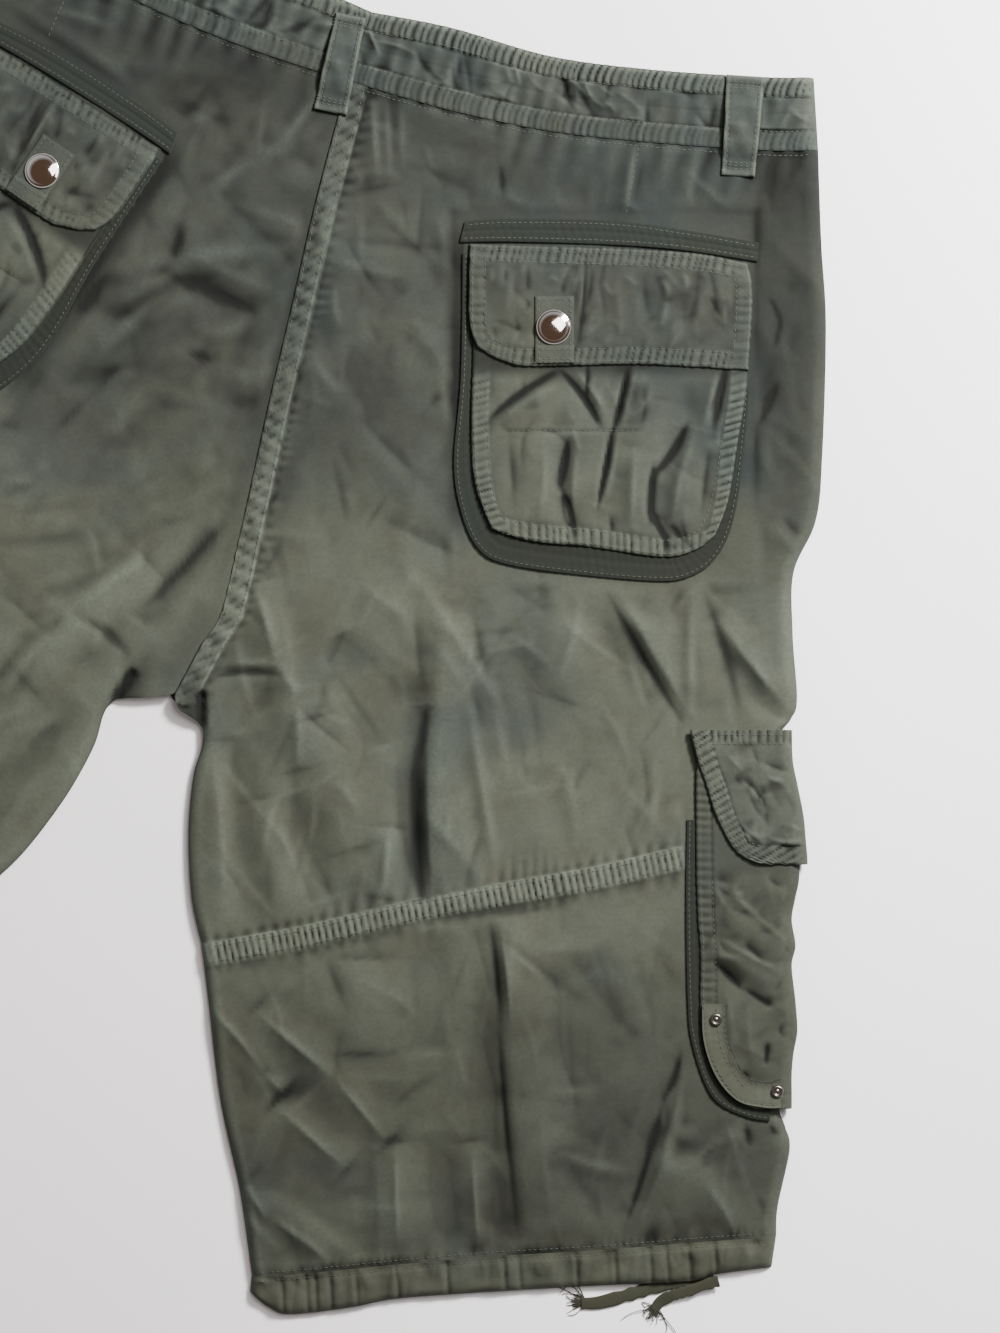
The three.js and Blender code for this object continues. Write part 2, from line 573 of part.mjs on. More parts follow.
function hemFront(side) {
  const shorter = ({ across, down }) => ({ across, down: down - FRONT_HEM_SHORTER });
  const edge = benchPoints(HEM_EDGE.map(shorter));
  const seam = benchPoints(HEM_SEAM);
  const place = patch({
    top: line(seam), bottom: line(edge),
    left: line([seam[0], edge[0]]), right: line([seam.at(-1), edge.at(-1)]),
  });
  const margin = FRONT_HEM_MARGIN / HEM_LENGTH;
  const grid = (height) => FRONT_HEM.rows.map((v) => evenShares(FRONT_HEM.columns).map((u) =>
    at(place(lerp(margin, 1 - margin, u), v), height)));
  add("hem_front", wall(grid(HEM_WALL), grid(0)), TWILL(), side);
}

function waistbandFront(side) {
  const seam = waistSeam(middlePoints()[0]);
  const edge = line(WAIST_TOP_EDGE.map(({ out, up }) => point(out + SEAM_GAP / 2, up)));
  const place = patch({
    top: edge, bottom: seam, left: line([edge(0), seam(0)]), right: line([edge(1), seam(1)]),
  });
  const margin = FRONT_WAIST_MARGIN / WAIST_LENGTH;
  const grid = (depth) => FRONT_WAIST_ROWS.map((v) => FRONT_COLUMNS.map((u) => {
    const spot = place(u * (1 - margin), v);
    return at(spot, depth + LAYER_LIFT * (1 - smoothstep(spot.x, BUTTON_LIFT.full, BUTTON_LIFT.clear)));
  }));
  add("waistband_front", wall(grid(FRONT_WAIST_WALL), grid(0)), TWILL(), side);
}

function fly() {
  const [top, foot] = [SEAT_SEAM[0].up - SEAM_GAP, SEAT_SEAM[0].up - FLY.length];
  const outline = new THREE.Shape();
  outline.moveTo(-FLY.overlap, top);
  outline.lineTo(-FLY.overlap, foot);
  outline.lineTo(FLY.width - FLY.corner, foot);
  outline.absarc(FLY.width - FLY.corner, foot + FLY.corner, FLY.corner, -Math.PI / 2, 0, false);
  outline.lineTo(FLY.width, top);
  const options = { depth: POCKET_WALL, bevelEnabled: false, curveSegments: 6 };
  const geometry = new THREE.ExtrudeGeometry(outline, options);
  geometry.translate(0, -CROTCH_BELOW_CENTRE, 0);
  add("fly_placket", geometry, TWILL());
  const { radius, height, up, sides } = WAIST_BUTTON;
  const button = new THREE.CylinderGeometry(radius, radius, height, sides);
  button.rotateX(Math.PI / 2);
  button.translate(0, up - CROTCH_BELOW_CENTRE, height / 2);
  add("waist_button", button, HORN());
}

// Belt loops: a strap along a straight line, arched over the waistband
function beltLoop(name, loop, side = null) {
  const [head, foot] = [point(loop.out, loop.up), point(loop.outEnd, loop.upEnd)];
  const across = foot.clone().sub(head).normalize();
  across.set(-across.y, across.x);
  const grid = (depth) => BELT_LOOP_HEIGHTS.map(({ along, height }) => [-0.5, 0, 0.5].map((aside) => {
    const width = lerp(loop.width, loop.widthEnd, along);
    const onBack = smoothstep(along, ...BELT_LOOP_STEP);
    const base = lerp(WAIST_TOP + WAIST_GATHERS.rise, BACK_TOP + loop.seam, onBack);
    const place = head.clone().lerp(foot, along).addScaledVector(across, aside * width);
    return at(place, base + height + depth);
  }));
  add(name, wall(grid(BELT_LOOP_WALL), grid(0)), TWILL(), side);
}

// Flat ribbons, given by their outer edge and their width towards the inside of the curve
function ribbon(rows, foot, thickness, steps) {
  const spline = new THREE.SplineCurve(rows.map(({ across, down }) => new THREE.Vector2(across, down)));
  const widths = new THREE.SplineCurve(rows.map(({ width }, i) => new THREE.Vector2(i, width)));
  const grid = (height) => evenShares(steps).map((share) => {
    const t = spline.getUtoTmapping(share);
    const [outer, heading] = [spline.getPoint(t), spline.getTangent(t)];
    const aside = new THREE.Vector2(heading.y, -heading.x);
    return [1, 0.5, 0].map((part) => {
      const spot = outer.clone().addScaledVector(aside, part * widths.getPoint(t).y);
      return at(fromBench(spot.x, spot.y), height(spot));
    });
  });
  const flip = (rowsOfPoints) => rowsOfPoints.map((row) => row.toReversed());
  return wall(flip(grid((spot) => foot(spot) + thickness)), flip(grid(foot)));
}

const onCloth = () => BACK_TOP + SEAM_GAP;
const BODY_TOP = BACK_TOP + SEAM_GAP + TAPE_WALL + SEAM_GAP + POCKET_WALL;

// Back pocket
const bulge = (share) => Math.sin(Math.PI * clamp(share, 0, 1)) ** 0.7;
const edgesOf = (outline) => Object.fromEntries(
  Object.entries(outline).map(([name, rows]) => [name, line(benchPoints(rows))]));

// Height of the pocket's face below the flap, where it has no folds
function pocketFace({ across, down }) {
  const { left, top, width, length } = POCKET_FACE;
  return BODY_TOP + POCKET_PUFF * bulge((across - left) / width) * bulge((down - top) / length);
}

function backPocket(side, detail) {
  const topTape = patch({
    top: line(benchPoints(POCKET_TOP_TAPE.upper)), bottom: line(benchPoints(POCKET_TOP_TAPE.lower)),
    left: line(benchPoints([POCKET_TOP_TAPE.upper[0], POCKET_TOP_TAPE.lower[0]])),
    right: line(benchPoints([POCKET_TOP_TAPE.upper.at(-1), POCKET_TOP_TAPE.lower.at(-1)])),
  });
  const tapeGrid = (height, rise) => TOP_TAPE.rows.map((v) => evenShares(TOP_TAPE.columns).map((u) =>
    at(topTape(u, v), height + rise * Math.sin(Math.PI * v))));
  const face = tapeGrid(onCloth() + TAPE_WALL, TOP_TAPE.bulge);
  add("pocket_top_tape", wall(face, tapeGrid(onCloth(), 0)), TAPE(), side);
  add("pocket_gusset", ribbon(POCKET_GUSSET, onCloth, TAPE_WALL, RIBBON_STEPS.gusset), TAPE(), side);

  const body = patch(edgesOf(POCKET_BODY));
  const bodyGrid = (depth) => evenShares(detail).map((v) => evenShares(detail).map((u) => {
    const place = body(u, v);
    const bench = toBench(place);
    const folds = foldHeight(POCKET_FOLDS, bench) * smoothstep(bench.down, ...POCKET_FOLD_START);
    return at(place, pocketFace(bench) + folds - depth);
  }));
  add("pocket_body", wall(bodyGrid(0), bodyGrid(POCKET_WALL)), TWILL(), side);

  const flap = patch(edgesOf(POCKET_FLAP));
  const flapHeight = (bench, v) => pocketFace(bench) + SEAM_GAP + POCKET_WALL
    - FLAP_HINGE.drop * (1 - smoothstep(v, 0, FLAP_HINGE.share));
  const flapGrid = (depth) => FLAP_ROWS.map((v) => evenShares(detail).map((u) => {
    const place = flap(u, v);
    return at(place, flapHeight(toBench(place), v) - depth);
  }));
  add("pocket_flap", wall(flapGrid(0), flapGrid(POCKET_WALL)), TWILL(), side);

  const onFlap = (bench) => pocketFace(bench) + 2 * SEAM_GAP + POCKET_WALL;
  const tabGrid = (depth) => evenShares(3).map((v) => evenShares(2).map((u) => {
    const bench = { across: lerp(...SNAP_TAB.across, u), down: lerp(...SNAP_TAB.down, v) };
    return at(fromBench(bench.across, bench.down), onFlap(bench) + depth);
  }));
  add("pocket_snap_tab", wall(tabGrid(TAPE_WALL), tabGrid(0)), TWILL(), side);
  snap("pocket_snap", SNAP_CAP, onFlap(SNAP_CAP) + TAPE_WALL + SEAM_GAP, side);
}

// A domed snap cap, lying flat
function snap(name, { across, down, radius, height, sides }, foot, side) {
  const profile = table("radius height", [0, 0], [0.94, 0], [1, 0.2], [0.9, 0.62], [0.55, 0.92], [0, 1]);
  const points = profile.map((row) => new THREE.Vector2(row.radius * radius, row.height * height));
  const geometry = new THREE.LatheGeometry(points, sides);
  geometry.rotateX(Math.PI / 2);
  const place = fromBench(across, down);
  geometry.translate(place.x, place.y, foot);
  add(name, geometry, CHROME(), side);
}

// Side pocket: each section runs over the back, round the outseam and in below the front
function sectionPoints(section, top, folds, depth, steps) {
  const foot = section.foot + depth;
  const height = (top - depth - foot) / 2;
  const turn = section.silhouette - SIDE_TURN;
  const reach = SIDE_TURN - depth;
  const over = evenShares(steps.over).slice(0, -1).map((share) => {
    const across = lerp(section.edge, turn, share);
    const fold = foldHeight(SIDE_POCKET_FOLDS, { across, down: section.down });
    return { across, z: top - depth + folds * fold };
  });
  const round = evenShares(steps.round).map((share) => {
    const angle = Math.PI * (0.5 - share);
    return { across: turn + reach * Math.cos(angle), z: foot + height + height * Math.sin(angle) };
  });
  const below = evenShares(steps.below).slice(1).map((share) =>
    ({ across: lerp(turn, section.under, share), z: foot }));
  return [...over, ...round, ...below].map(({ across, z }) => at(fromBench(across, section.down), z));
}

function wrapped(sections, top, folds, steps) {
  const grid = (depth) => sections.map((section) => sectionPoints(section, top, folds, depth, steps));
  return wall(grid(0), grid(POCKET_WALL));
}

const FLAP_TOP = BODY_TOP + SEAM_GAP + POCKET_WALL;

function sidePocket(side, steps) {
  const gusset = ribbon(SIDE_GUSSET, onCloth, TAPE_WALL, RIBBON_STEPS.sideGusset);
  add("side_gusset", gusset, TAPE(), side);
  add("side_pocket", wrapped(SIDE_POCKET, BODY_TOP, 1, steps), TWILL(), side);
  add("side_flap", wrapped(SIDE_FLAP, FLAP_TOP, 0, steps), TWILL(), side);
  const onBody = () => BODY_TOP + SEAM_GAP;
  const fallAtEdge = (spot) => onBody() - STRAP_FALL.drop * smoothstep(spot.x, ...STRAP_FALL.across);
  const strap = ribbon(CORNER_STRAP, fallAtEdge, TAPE_WALL, RIBBON_STEPS.strap);
  add("side_corner_strap", strap, TWILL(), side);
  for (const row of SIDE_SNAPS) {
    const place = { across: row.across, down: row.down, ...SIDE_SNAP };
    snap(`side_snap_${row.name}`, place, onBody() + TAPE_WALL + SEAM_GAP, side);
  }
}

// Flat cords, swept along their routes
function cord(name, { width, wall: thickness, route }, side) {
  const path = new THREE.CatmullRomCurve3(
    route.map(({ across, down, height }) => at(fromBench(across, down), height)));
  const [half, flat, edge] = [thickness / 2, CORD_FLAT_SHARE * width, width / 2];
  const corners = [[half, -flat], [half, flat], [half / 2, edge], [-half / 2, edge],
    [-half, flat], [-half, -flat], [-half / 2, -edge], [half / 2, -edge]];
  const section = new THREE.Shape(corners.map(([x, y]) => new THREE.Vector2(x, y)));
  const geometry = new THREE.ExtrudeGeometry(section, { steps: CORD_STEPS, extrudePath: path });
  add(name, geometry, CORD_COTTON(), side);
}

const DETAIL = {
  right: { columns: 16, lowerRows: 12, pocket: 10, side: { over: 4, round: 6, below: 2 } },
  left: { columns: 11, lowerRows: 9, pocket: 7, side: { over: 3, round: 6, below: 2 } },
};

for (const side of ["right", "left"]) {
  const detail = DETAIL[side];
  backUpper(side, detail.columns);
  backLower(side, detail.columns, detail.lowerRows);
  hemBack(side);
  waistbandBack(side);
  front(side);
  hemFront(side);
  waistbandFront(side);
  backPocket(side, detail.pocket);
  sidePocket(side, detail.side);
  beltLoop("belt_loop", BELT_LOOPS.side, side);
  for (const [name, shape] of Object.entries(CORDS)) cord(name, shape, side);
}
beltLoop("belt_loop_centre", BELT_LOOPS.centre);
fly();

export default garment;
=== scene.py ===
"""Long cargo shorts of garment-dyed cotton twill, laid flat with their back up.

The cloth is worked out on the bench of one leg: "across" runs from the crotch towards the
outseam and "down" from the crotch towards the hem, in millimetres, and a leg is then turned
by its splay. Every piece is a thin closed shell on the form of the part's own solid.
"""

import logging
import math
from dataclasses import dataclass
from enum import Enum
from typing import Callable, Optional, Sequence

import bmesh
import bpy
import numpy as np
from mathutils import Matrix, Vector
from mathutils.bvhtree import BVHTree


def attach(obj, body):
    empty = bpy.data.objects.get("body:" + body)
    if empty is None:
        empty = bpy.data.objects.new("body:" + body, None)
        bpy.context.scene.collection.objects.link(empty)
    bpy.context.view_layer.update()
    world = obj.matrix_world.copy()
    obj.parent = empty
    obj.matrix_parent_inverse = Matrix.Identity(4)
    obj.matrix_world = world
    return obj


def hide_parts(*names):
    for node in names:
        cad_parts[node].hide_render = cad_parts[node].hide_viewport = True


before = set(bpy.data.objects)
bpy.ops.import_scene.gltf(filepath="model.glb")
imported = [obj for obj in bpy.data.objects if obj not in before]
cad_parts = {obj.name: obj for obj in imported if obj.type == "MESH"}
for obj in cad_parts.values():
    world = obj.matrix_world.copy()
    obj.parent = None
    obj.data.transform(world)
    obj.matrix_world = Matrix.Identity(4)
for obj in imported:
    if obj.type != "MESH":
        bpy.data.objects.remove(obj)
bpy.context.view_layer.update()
log = logging.getLogger("shorts")

MM = 0.001
Array = np.ndarray
Curve = Callable[[Array], Array]

# The lie of the garment
LEG_SPLAY = math.radians(17)
CROTCH_BELOW_CENTRE = 65.9

# Walls and layers, in millimetres above the surface
SEAM_GAP = 0.3
SHELL_GAP = 0.03
BACK_TOP = 7.0
BACK_WALL = 1.5
FRONT_WALL = 1.6
POCKET_WALL = 1.2
TAPE_WALL = 1.0
WAIST_TOP = 7.6
WAIST_WALL = 3.0
FRONT_WAIST_WALL = 2.4
HEM_WALL = 2.4
HEM_FALL = 1.6
LAYER_LIFT = POCKET_WALL + SEAM_GAP
ON_CLOTH = BACK_TOP + SEAM_GAP
BODY_TOP = ON_CLOTH + TAPE_WALL + SEAM_GAP + POCKET_WALL
FLAP_TOP = BODY_TOP + SEAM_GAP + POCKET_WALL
DEEPEST_TROUGH = 2.0
WAIST_GATHERS = 24
HEM_GATHERS = 14


class Side(Enum):
    """The garment's own sides, seen with its back up."""

    RIGHT = 1
    LEFT = -1

    @property
    def word(self) -> str:
        """The side's name in a node's name."""
        return self.name.lower()


def table(*rows: Sequence[float]) -> Array:
    """Rows of numbers under the columns that their comment names."""
    return np.array(rows, dtype=float)


# Outline of the waist, straight from the middle line: out, up
WAIST_SEAM = table((56, 353), (111, 358), (164, 368), (225, 382), (253, 391))
WAIST_EDGE = table((0, 391.5), (43, 396), (99, 397), (153, 406), (213, 420), (239, 428))
SEAT_UP = table((352, -2), (285, 0.5), (228, 4.6), (172, 8.3), (116, 13), (59, 17), (37, 11.4), (8, 5.7))
CROTCH = table((10, 1), (18, -1.5), (25, -5), (28, -14), (28, -31))

# Outline of a leg on its bench: across, down
INSEAM_UPPER = table((15.1, 62), (15.1, 84), (17, 108), (21.7, 129.5))
INSEAM_LOWER = table((21.7, 129.5), (25.4, 159), (31.9, 213), (42.7, 264.6), (49, 309))
OUTSEAM_UPPER = table(
    (356.4, -299.7), (358, -250), (360.5, -205), (358.5, -135), (355, -100), (343, -72),
    (342.4, -40), (344.5, -3), (341, 8), (334.5, 20), (334.5, 65))
OUTSEAM_LOWER = table(
    (334.5, 65), (334.5, 160), (334.5, 214), (338, 228), (340.7, 241), (334.3, 272), (333.5, 287.3))
KNEE_SEAM = table(
    (21.7, 129.5), (75.6, 120), (129.6, 107), (183.6, 96.6), (237.6, 87), (286, 75.5), (334.5, 65))
HEM_SEAM = table(
    (49, 309), (75.6, 307.3), (129.6, 302), (183.6, 297.5), (237.6, 294.3), (291.6, 290), (333.5, 287.3))
HEM_EDGE = table(
    (48, 318), (58, 326), (70, 330), (102.6, 326.2), (129.6, 321.3), (183.6, 317.5), (237.6, 314.3),
    (286, 312), (300, 308.3), (331, 304.5))

# Folds: across, down, then the same at the far end, bow, rise, and the flank on either side.
# These are the folds that the part's solids carry.
MAIN_FOLDS = {
    Side.RIGHT: table(
        (81, -165, 50, -70, -3, -2.5, 14, 14), (50, -66, 74, 35, 6, 4.5, 11, 13),
        (40, 16, 57, 125, 0, -3, 10, 11), (30, 20, 33, 125, 0, 3, 11, 11),
        (81, 8, 103, 78, 2, 3.5, 14, 16), (53, 51, 66, 118, 0, 3, 10, 11),
        (70, 48, 89, 105, 2, -2.5, 12, 14), (100, -40, 122, 22, -2, -2.5, 12, 13),
        (141, 0, 141, 108, -5, -3.5, 9, 10), (163, -84, 155, 112, -7, 6.5, 11, 20),
        (226, -55, 210, -5, 0, 4, 14, 16), (186, -30, 201, 46, 3, -3, 14, 16),
        (124, 66, 120, 104, 0, 3, 10, 10), (247, -75, 294, 14, 0, 4, 10, 18),
        (232, -60, 276, 12, 0, -2.5, 10, 10), (300, -50, 343, 4, 0, 3, 10, 12),
        (112, -330, 118, -280, 0, 2.5, 9, 9), (24, 162, 66, 209, 0, 3, 10, 11),
        (51, 165, 123, 236, 5, 3.5, 11, 12), (40, 176, 76, 214, 0, -2.5, 12, 12),
        (62, 216, 101, 250, 0, 3, 10, 10), (46, 259, 95, 303, 3, 3, 10, 10),
        (108, 137, 109, 188, 0, 3, 14, 16), (143, 121, 146, 188, 0, -3, 16, 16),
        (186, 112, 204, 296, -3, 6.5, 11, 22), (175, 118, 184, 290, -3, -2.5, 10, 10),
        (220, 132, 223, 208, -3, -3, 13, 14), (290, 190, 258, 292, 4, 5.5, 10, 18),
        (120, 202, 119, 270, 0, -3, 14, 15), (127, 236, 128, 300, 0, 3, 10, 10),
        (168, 236, 172, 296, 0, 3, 9, 10), (146, 230, 158, 297, 0, -2.5, 10, 10),
        (292, 250, 312, 290, 0, 2.5, 10, 10)),
    Side.LEFT: table(
        (137, -194, 71, -206, 0, -1.2, 11, 11), (130, -212, 70, -224, 0, 1.6, 10, 12),
        (33, -30, 27, -108, 0, -2.5, 10, 10), (46, -60, 66, 30, 4, 4, 12, 13),
        (38, 22, 50, 120, 0, -2.5, 11, 11), (86, 0, 98, 84, 3, 3.5, 14, 16),
        (148, -20, 138, 106, -4, 6, 12, 20), (128, -4, 124, 100, -3, -3, 10, 10),
        (214, -58, 206, 6, 0, 4, 15, 16), (236, -50, 282, 16, 0, 5, 11, 18),
        (190, -24, 198, 60, 2, -3, 14, 15), (298, -44, 338, 2, 0, 3.5, 11, 12),
        (36, 170, 84, 222, 3, 3, 12, 12), (70, 150, 128, 210, 4, 3, 12, 13),
        (172, 120, 190, 292, 3, 6, 12, 20), (160, 130, 170, 280, 3, -2.5, 11, 11),
        (272, 196, 244, 290, -3, 5, 11, 18), (112, 214, 118, 292, 0, -2.5, 13, 14),
        (140, 220, 146, 298, 0, 3, 11, 11)),
}

# Finer creases with the same columns: narrow pressed lines, pinches and sharp flanks
FINE_FOLDS = {
    Side.RIGHT: table(
        # crotch and inner thigh
        (24, -14, 71, -15, 3, -1.7, 2.2, 4), (24, -19, 72, -20, 3, 1.1, 3, 5),
        (50, -66, 63, -22, 1, 1.5, 2.2, 5), (74, -4, 74, 36, 1, 1.1, 2.5, 5),
        (63, -22, 76, -4, 0, 1.2, 3, 5), (29, 25, 34, 120, 2, 0.8, 4, 5),
        (100, -42, 90, -20, 0, -1.3, 5, 4), (91, -22, 122, 23, 0, -1.3, 5, 4),
        (93, 40, 108, 62, 2, 0.8, 3, 5), (58, 60, 74, 92, 2, 1, 3, 5), (78, 70, 96, 112, 0, -1, 4, 5),
        # long creases of the thigh
        (145, -2, 138, 34, 0, -2, 5, 2), (138, 20, 143, 112, -3, -2.6, 5, 1.8),
        (146, 8, 149, 112, -3, 2.6, 2.6, 12), (124, 64, 120, 106, 0, 1.2, 2.5, 4),
        (166, -6, 183, 98, 0, 1.4, 3, 6), (168, -56, 178, -8, 0, -1, 5, 6),
        (239, -68, 286, 14, -2, -1.7, 3, 1.6), (244, -70, 292, 13, -2, 1.5, 2.2, 8),
        (228, -60, 212, -6, 2, 1.2, 4, 7), (196, -20, 206, 40, 2, -1, 6, 7),
        (288, -66, 287, 14, -1, 1.3, 2.5, 5), (301, -48, 343, 5, -2, 1.8, 3, 6),
        (293, -64, 314, 8, 2, -1.4, 4, 4), (252, -30, 262, 4, 0, 0.8, 3, 5),
        (212, 20, 226, 80, 3, 0.9, 5, 8), (268, 30, 262, 76, 2, 0.8, 4, 6),
        # beside and above the pocket
        (327, -222, 330, -190, 6, -1.3, 3, 3), (335, -176, 321, -147, 0, -1.3, 3, 3),
        (332, -230, 344, -160, -2, 1, 5, 6), (184, -294, 185.5, -272, 0, -1, 3, 3),
        (114, -334, 117, -284, 0, 1.1, 2.6, 3.4), (122, -332, 124, -282, 0, 1, 2.6, 3.4),
        (130, -328, 131, -288, 0, 0.9, 2.6, 3.2), (330, -296, 331, -260, 0, -1.8, 8, 9),
        (262, -300, 256, -268, 0, -0.7, 3, 4), (290, -302, 284, -266, 0, 0.7, 4, 5),
        (257.5, -306, 250, -258, 0, 1.6, 6, 1.4),
        (145, -150, 120, -60, 4, 0.8, 9, 12), (110, -240, 98, -150, 0, -0.7, 10, 12),
        # below the knee
        (178, 114, 184, 176, 1, -2, 5, 2), (182, 160, 194, 292, -1, -1.5, 4, 2),
        (183, 114, 190, 178, 1, 2.2, 2.6, 14), (282, 182, 270, 216, 3, -1.8, 4, 2),
        (273, 208, 248, 290, 2, -1.6, 4, 2), (286, 184, 254, 290, 4, 1.9, 2.6, 12),
        (24, 162, 56, 199, 2, 1.4, 2, 4), (56, 199, 68, 210, 0, 1.2, 2, 4),
        (51, 165, 94, 201, 0, 1.7, 2.4, 4), (94, 201, 123, 236, 0, 1.4, 2.4, 4),
        (62, 216, 101, 250, 0, 1.4, 2.2, 4), (46, 259, 58, 278, 0, 1.4, 2.2, 4),
        (57, 276, 95, 304, 2, 1.3, 2.2, 4), (127, 235, 128.5, 295, 0, 1.4, 2.5, 4),
        (168.5, 240, 172, 295, 0, 1.7, 2.5, 4), (292, 256, 312, 289, 2, 1.1, 2, 3),
        (213, 240, 259, 252, -3, 0.9, 2.5, 3), (186, 130, 209, 149, 0, 0.9, 2.5, 3),
        (316, 224, 319, 240, 0, -1.4, 3, 3), (329, 225, 334, 234, 0, -1.4, 2.5, 2.5),
        (89, 135, 101, 166, 0, -1.2, 5, 5), (150, 150, 160, 214, 2, 0.8, 6, 8),
        (222, 150, 228, 232, -3, -1, 5, 7), (300, 208, 318, 262, 0, 0.9, 4, 6),
        (206, 214, 214, 288, -2, 0.7, 4, 6), (98, 172, 92, 216, 0, -0.8, 5, 6)),
    Side.LEFT: table(
        (37, -36, 26, -104, 0, -2, 2.4, 5), (137, -194, 71, -206, 0, -1, 4, 4),
        (130, -208, 72, -219, 0, 1, 5, 5), (50, -62, 66, -18, 1, 1.4, 2.4, 5),
        (26, -12, 70, -14, 3, -1.4, 2.4, 4), (70, 0, 74, 44, 1, 1.1, 2.6, 5),
        (133, -4, 128, 40, 0, -1.8, 5, 2), (128, 24, 132, 104, -3, -2.4, 5, 2),
        (137, 10, 140, 106, -3, 2.3, 2.6, 12), (160, -10, 176, 92, 0, 1.3, 3, 6),
        (230, -60, 276, 16, -2, -2.2, 4, 2), (236, -62, 282, 14, -2, 2.2, 2.6, 10),
        (300, -46, 338, 4, -2, 1.6, 3, 6), (112, -332, 116, -286, 0, 1, 2.8, 3.4),
        (166, 118, 172, 180, 1, -1.8, 5, 2), (171, 118, 178, 182, 1, 2, 2.6, 13),
        (276, 190, 250, 288, 2, -1.6, 4, 2), (281, 188, 256, 288, 3, 1.8, 2.6, 12),
        (40, 172, 84, 220, 2, 1.3, 2.4, 4), (70, 152, 128, 212, 3, 1.4, 2.4, 4),
        (60, 252, 104, 292, 2, 1.3, 2.4, 4), (140, 222, 146, 296, 0, 1.4, 2.5, 4),
        (196, 236, 240, 250, -3, 0.9, 2.5, 3), (212, 140, 216, 220, -3, -1, 5, 7)),
}

# Bench boxes below a pocket, where the cloth lies flat: across, down, and the far corner
POCKET_ZONES = table((159, -266, 322, -67), (284, 12, 350, 225))
SIDE_LIFT = table(
    (-30, 0), (-6, 2 * LAYER_LIFT), (106, 2 * LAYER_LIFT), (126, LAYER_LIFT), (236, LAYER_LIFT), (256, 0))


def smoothstep(value: Array, low: float, high: float) -> Array:
    """A soft step from 0 at low to 1 at high."""
    share = np.clip((np.asarray(value, dtype=float) - low) / (high - low), 0, 1)
    return share * share * (3 - 2 * share)


def bump(value: Array, reach: float) -> Array:
    """A smooth hump that is 1 at zero and small beyond its reach."""
    return np.exp(-((value / reach) ** 2))


def from_bench(across: Array, down: Array) -> Array:
    """Places on the bench, as out and up from the middle of the garment."""
    cosine, sine = math.cos(LEG_SPLAY), math.sin(LEG_SPLAY)
    out = across * cosine + down * sine
    up = across * sine - down * cosine - CROTCH_BELOW_CENTRE
    return np.stack([out, up], axis=-1)


def to_bench(place: Array) -> tuple[Array, Array]:
    """The across and down of places in plan."""
    up = place[..., 1] + CROTCH_BELOW_CENTRE
    cosine, sine = math.cos(LEG_SPLAY), math.sin(LEG_SPLAY)
    return place[..., 0] * cosine + up * sine, place[..., 0] * sine - up * cosine


def bench_points(rows: Array) -> Array:
    """Plan points of a bench table."""
    return from_bench(rows[:, 0], rows[:, 1])


def waist_points(rows: Array) -> Array:
    """Plan points of a table that is given straight from the middle line."""
    return rows - np.array([0, CROTCH_BELOW_CENTRE])


def smooth_points(points: Array, steps: int = 40) -> Array:
    """A smooth line through points, as many short straight runs."""
    padded = np.vstack([points[:1], points, points[-1:]])
    t = np.linspace(0, 1, steps, endpoint=False)[:, None]
    runs = []
    for i in range(1, len(padded) - 2):
        before, start, end, after = padded[i - 1:i + 3]
        slope_in, slope_out = (end - before) / 2, (after - start) / 2
        runs.append((2 * start - 2 * end + slope_in + slope_out) * t ** 3
                    + (-3 * start + 3 * end - 2 * slope_in - slope_out) * t ** 2 + slope_in * t + start)
    return np.vstack([*runs, points[-1:]])


def line(points: Array) -> Curve:
    """A smooth line, read by its share of the whole length.

    Args:
        points: the points that it passes through.

    Returns:
        a function from shares to places.
    """
    fine = smooth_points(np.asarray(points, dtype=float))
    shares = np.concatenate([[0], np.cumsum(np.linalg.norm(np.diff(fine, axis=0), axis=1))])
    shares /= shares[-1]
    return lambda at: np.stack([np.interp(at, shares, fine[:, k]) for k in range(fine.shape[1])], axis=-1)


def bench_line(rows: Array) -> Curve:
    """A smooth line through the rows of a bench table."""
    return line(bench_points(rows))


def straight(start: Array, end: Array) -> Curve:
    """A straight line between two places."""
    return line(np.array([start, end]))


@dataclass
class Patch:
    """A flat shape spanned by four edges that meet at their ends."""

    top: Curve
    bottom: Curve
    left: Curve
    right: Curve

    def place(self, u: Array, v: Array) -> Array:
        """Plan places at shares u across and v down."""
        u, v = np.broadcast_arrays(np.asarray(u, float), np.asarray(v, float))
        a, b = u[..., None], v[..., None]
        zero, one = np.array(0.0), np.array(1.0)
        corners = self.top(zero), self.top(one), self.bottom(zero), self.bottom(one)
        sides = self.left(v) * (1 - a) + self.right(v) * a + self.top(u) * (1 - b) + self.bottom(u) * b
        return (sides - corners[0] * (1 - a) * (1 - b) - corners[1] * a * (1 - b)
                - corners[2] * (1 - a) * b - corners[3] * a * b)


def noise(x: Array, y: Array, cell: float, seed: int) -> Array:
    """Smooth value noise from 0 to 1, the same each run.

    Args:
        x: places across, in millimetres.
        y: places down, in millimetres.
        cell: the size of its spots.
        seed: which of its fields.
    """
    size = 128
    random = np.random.default_rng(seed)
    lattice, turn = random.random((size, size)), random.uniform(0.3, 1.3)
    x, y = x * math.cos(turn) - y * math.sin(turn), x * math.sin(turn) + y * math.cos(turn)
    i, j = np.floor(x / cell).astype(int), np.floor(y / cell).astype(int)
    fx, fy = smoothstep(x / cell - i, 0, 1), smoothstep(y / cell - j, 0, 1)
    i, j = i % size, j % size
    k, m = (i + 1) % size, (j + 1) % size
    near = lattice[i, j] * (1 - fx) + lattice[k, j] * fx
    far = lattice[i, m] * (1 - fx) + lattice[k, m] * fx
    return near * (1 - fy) + far * fy


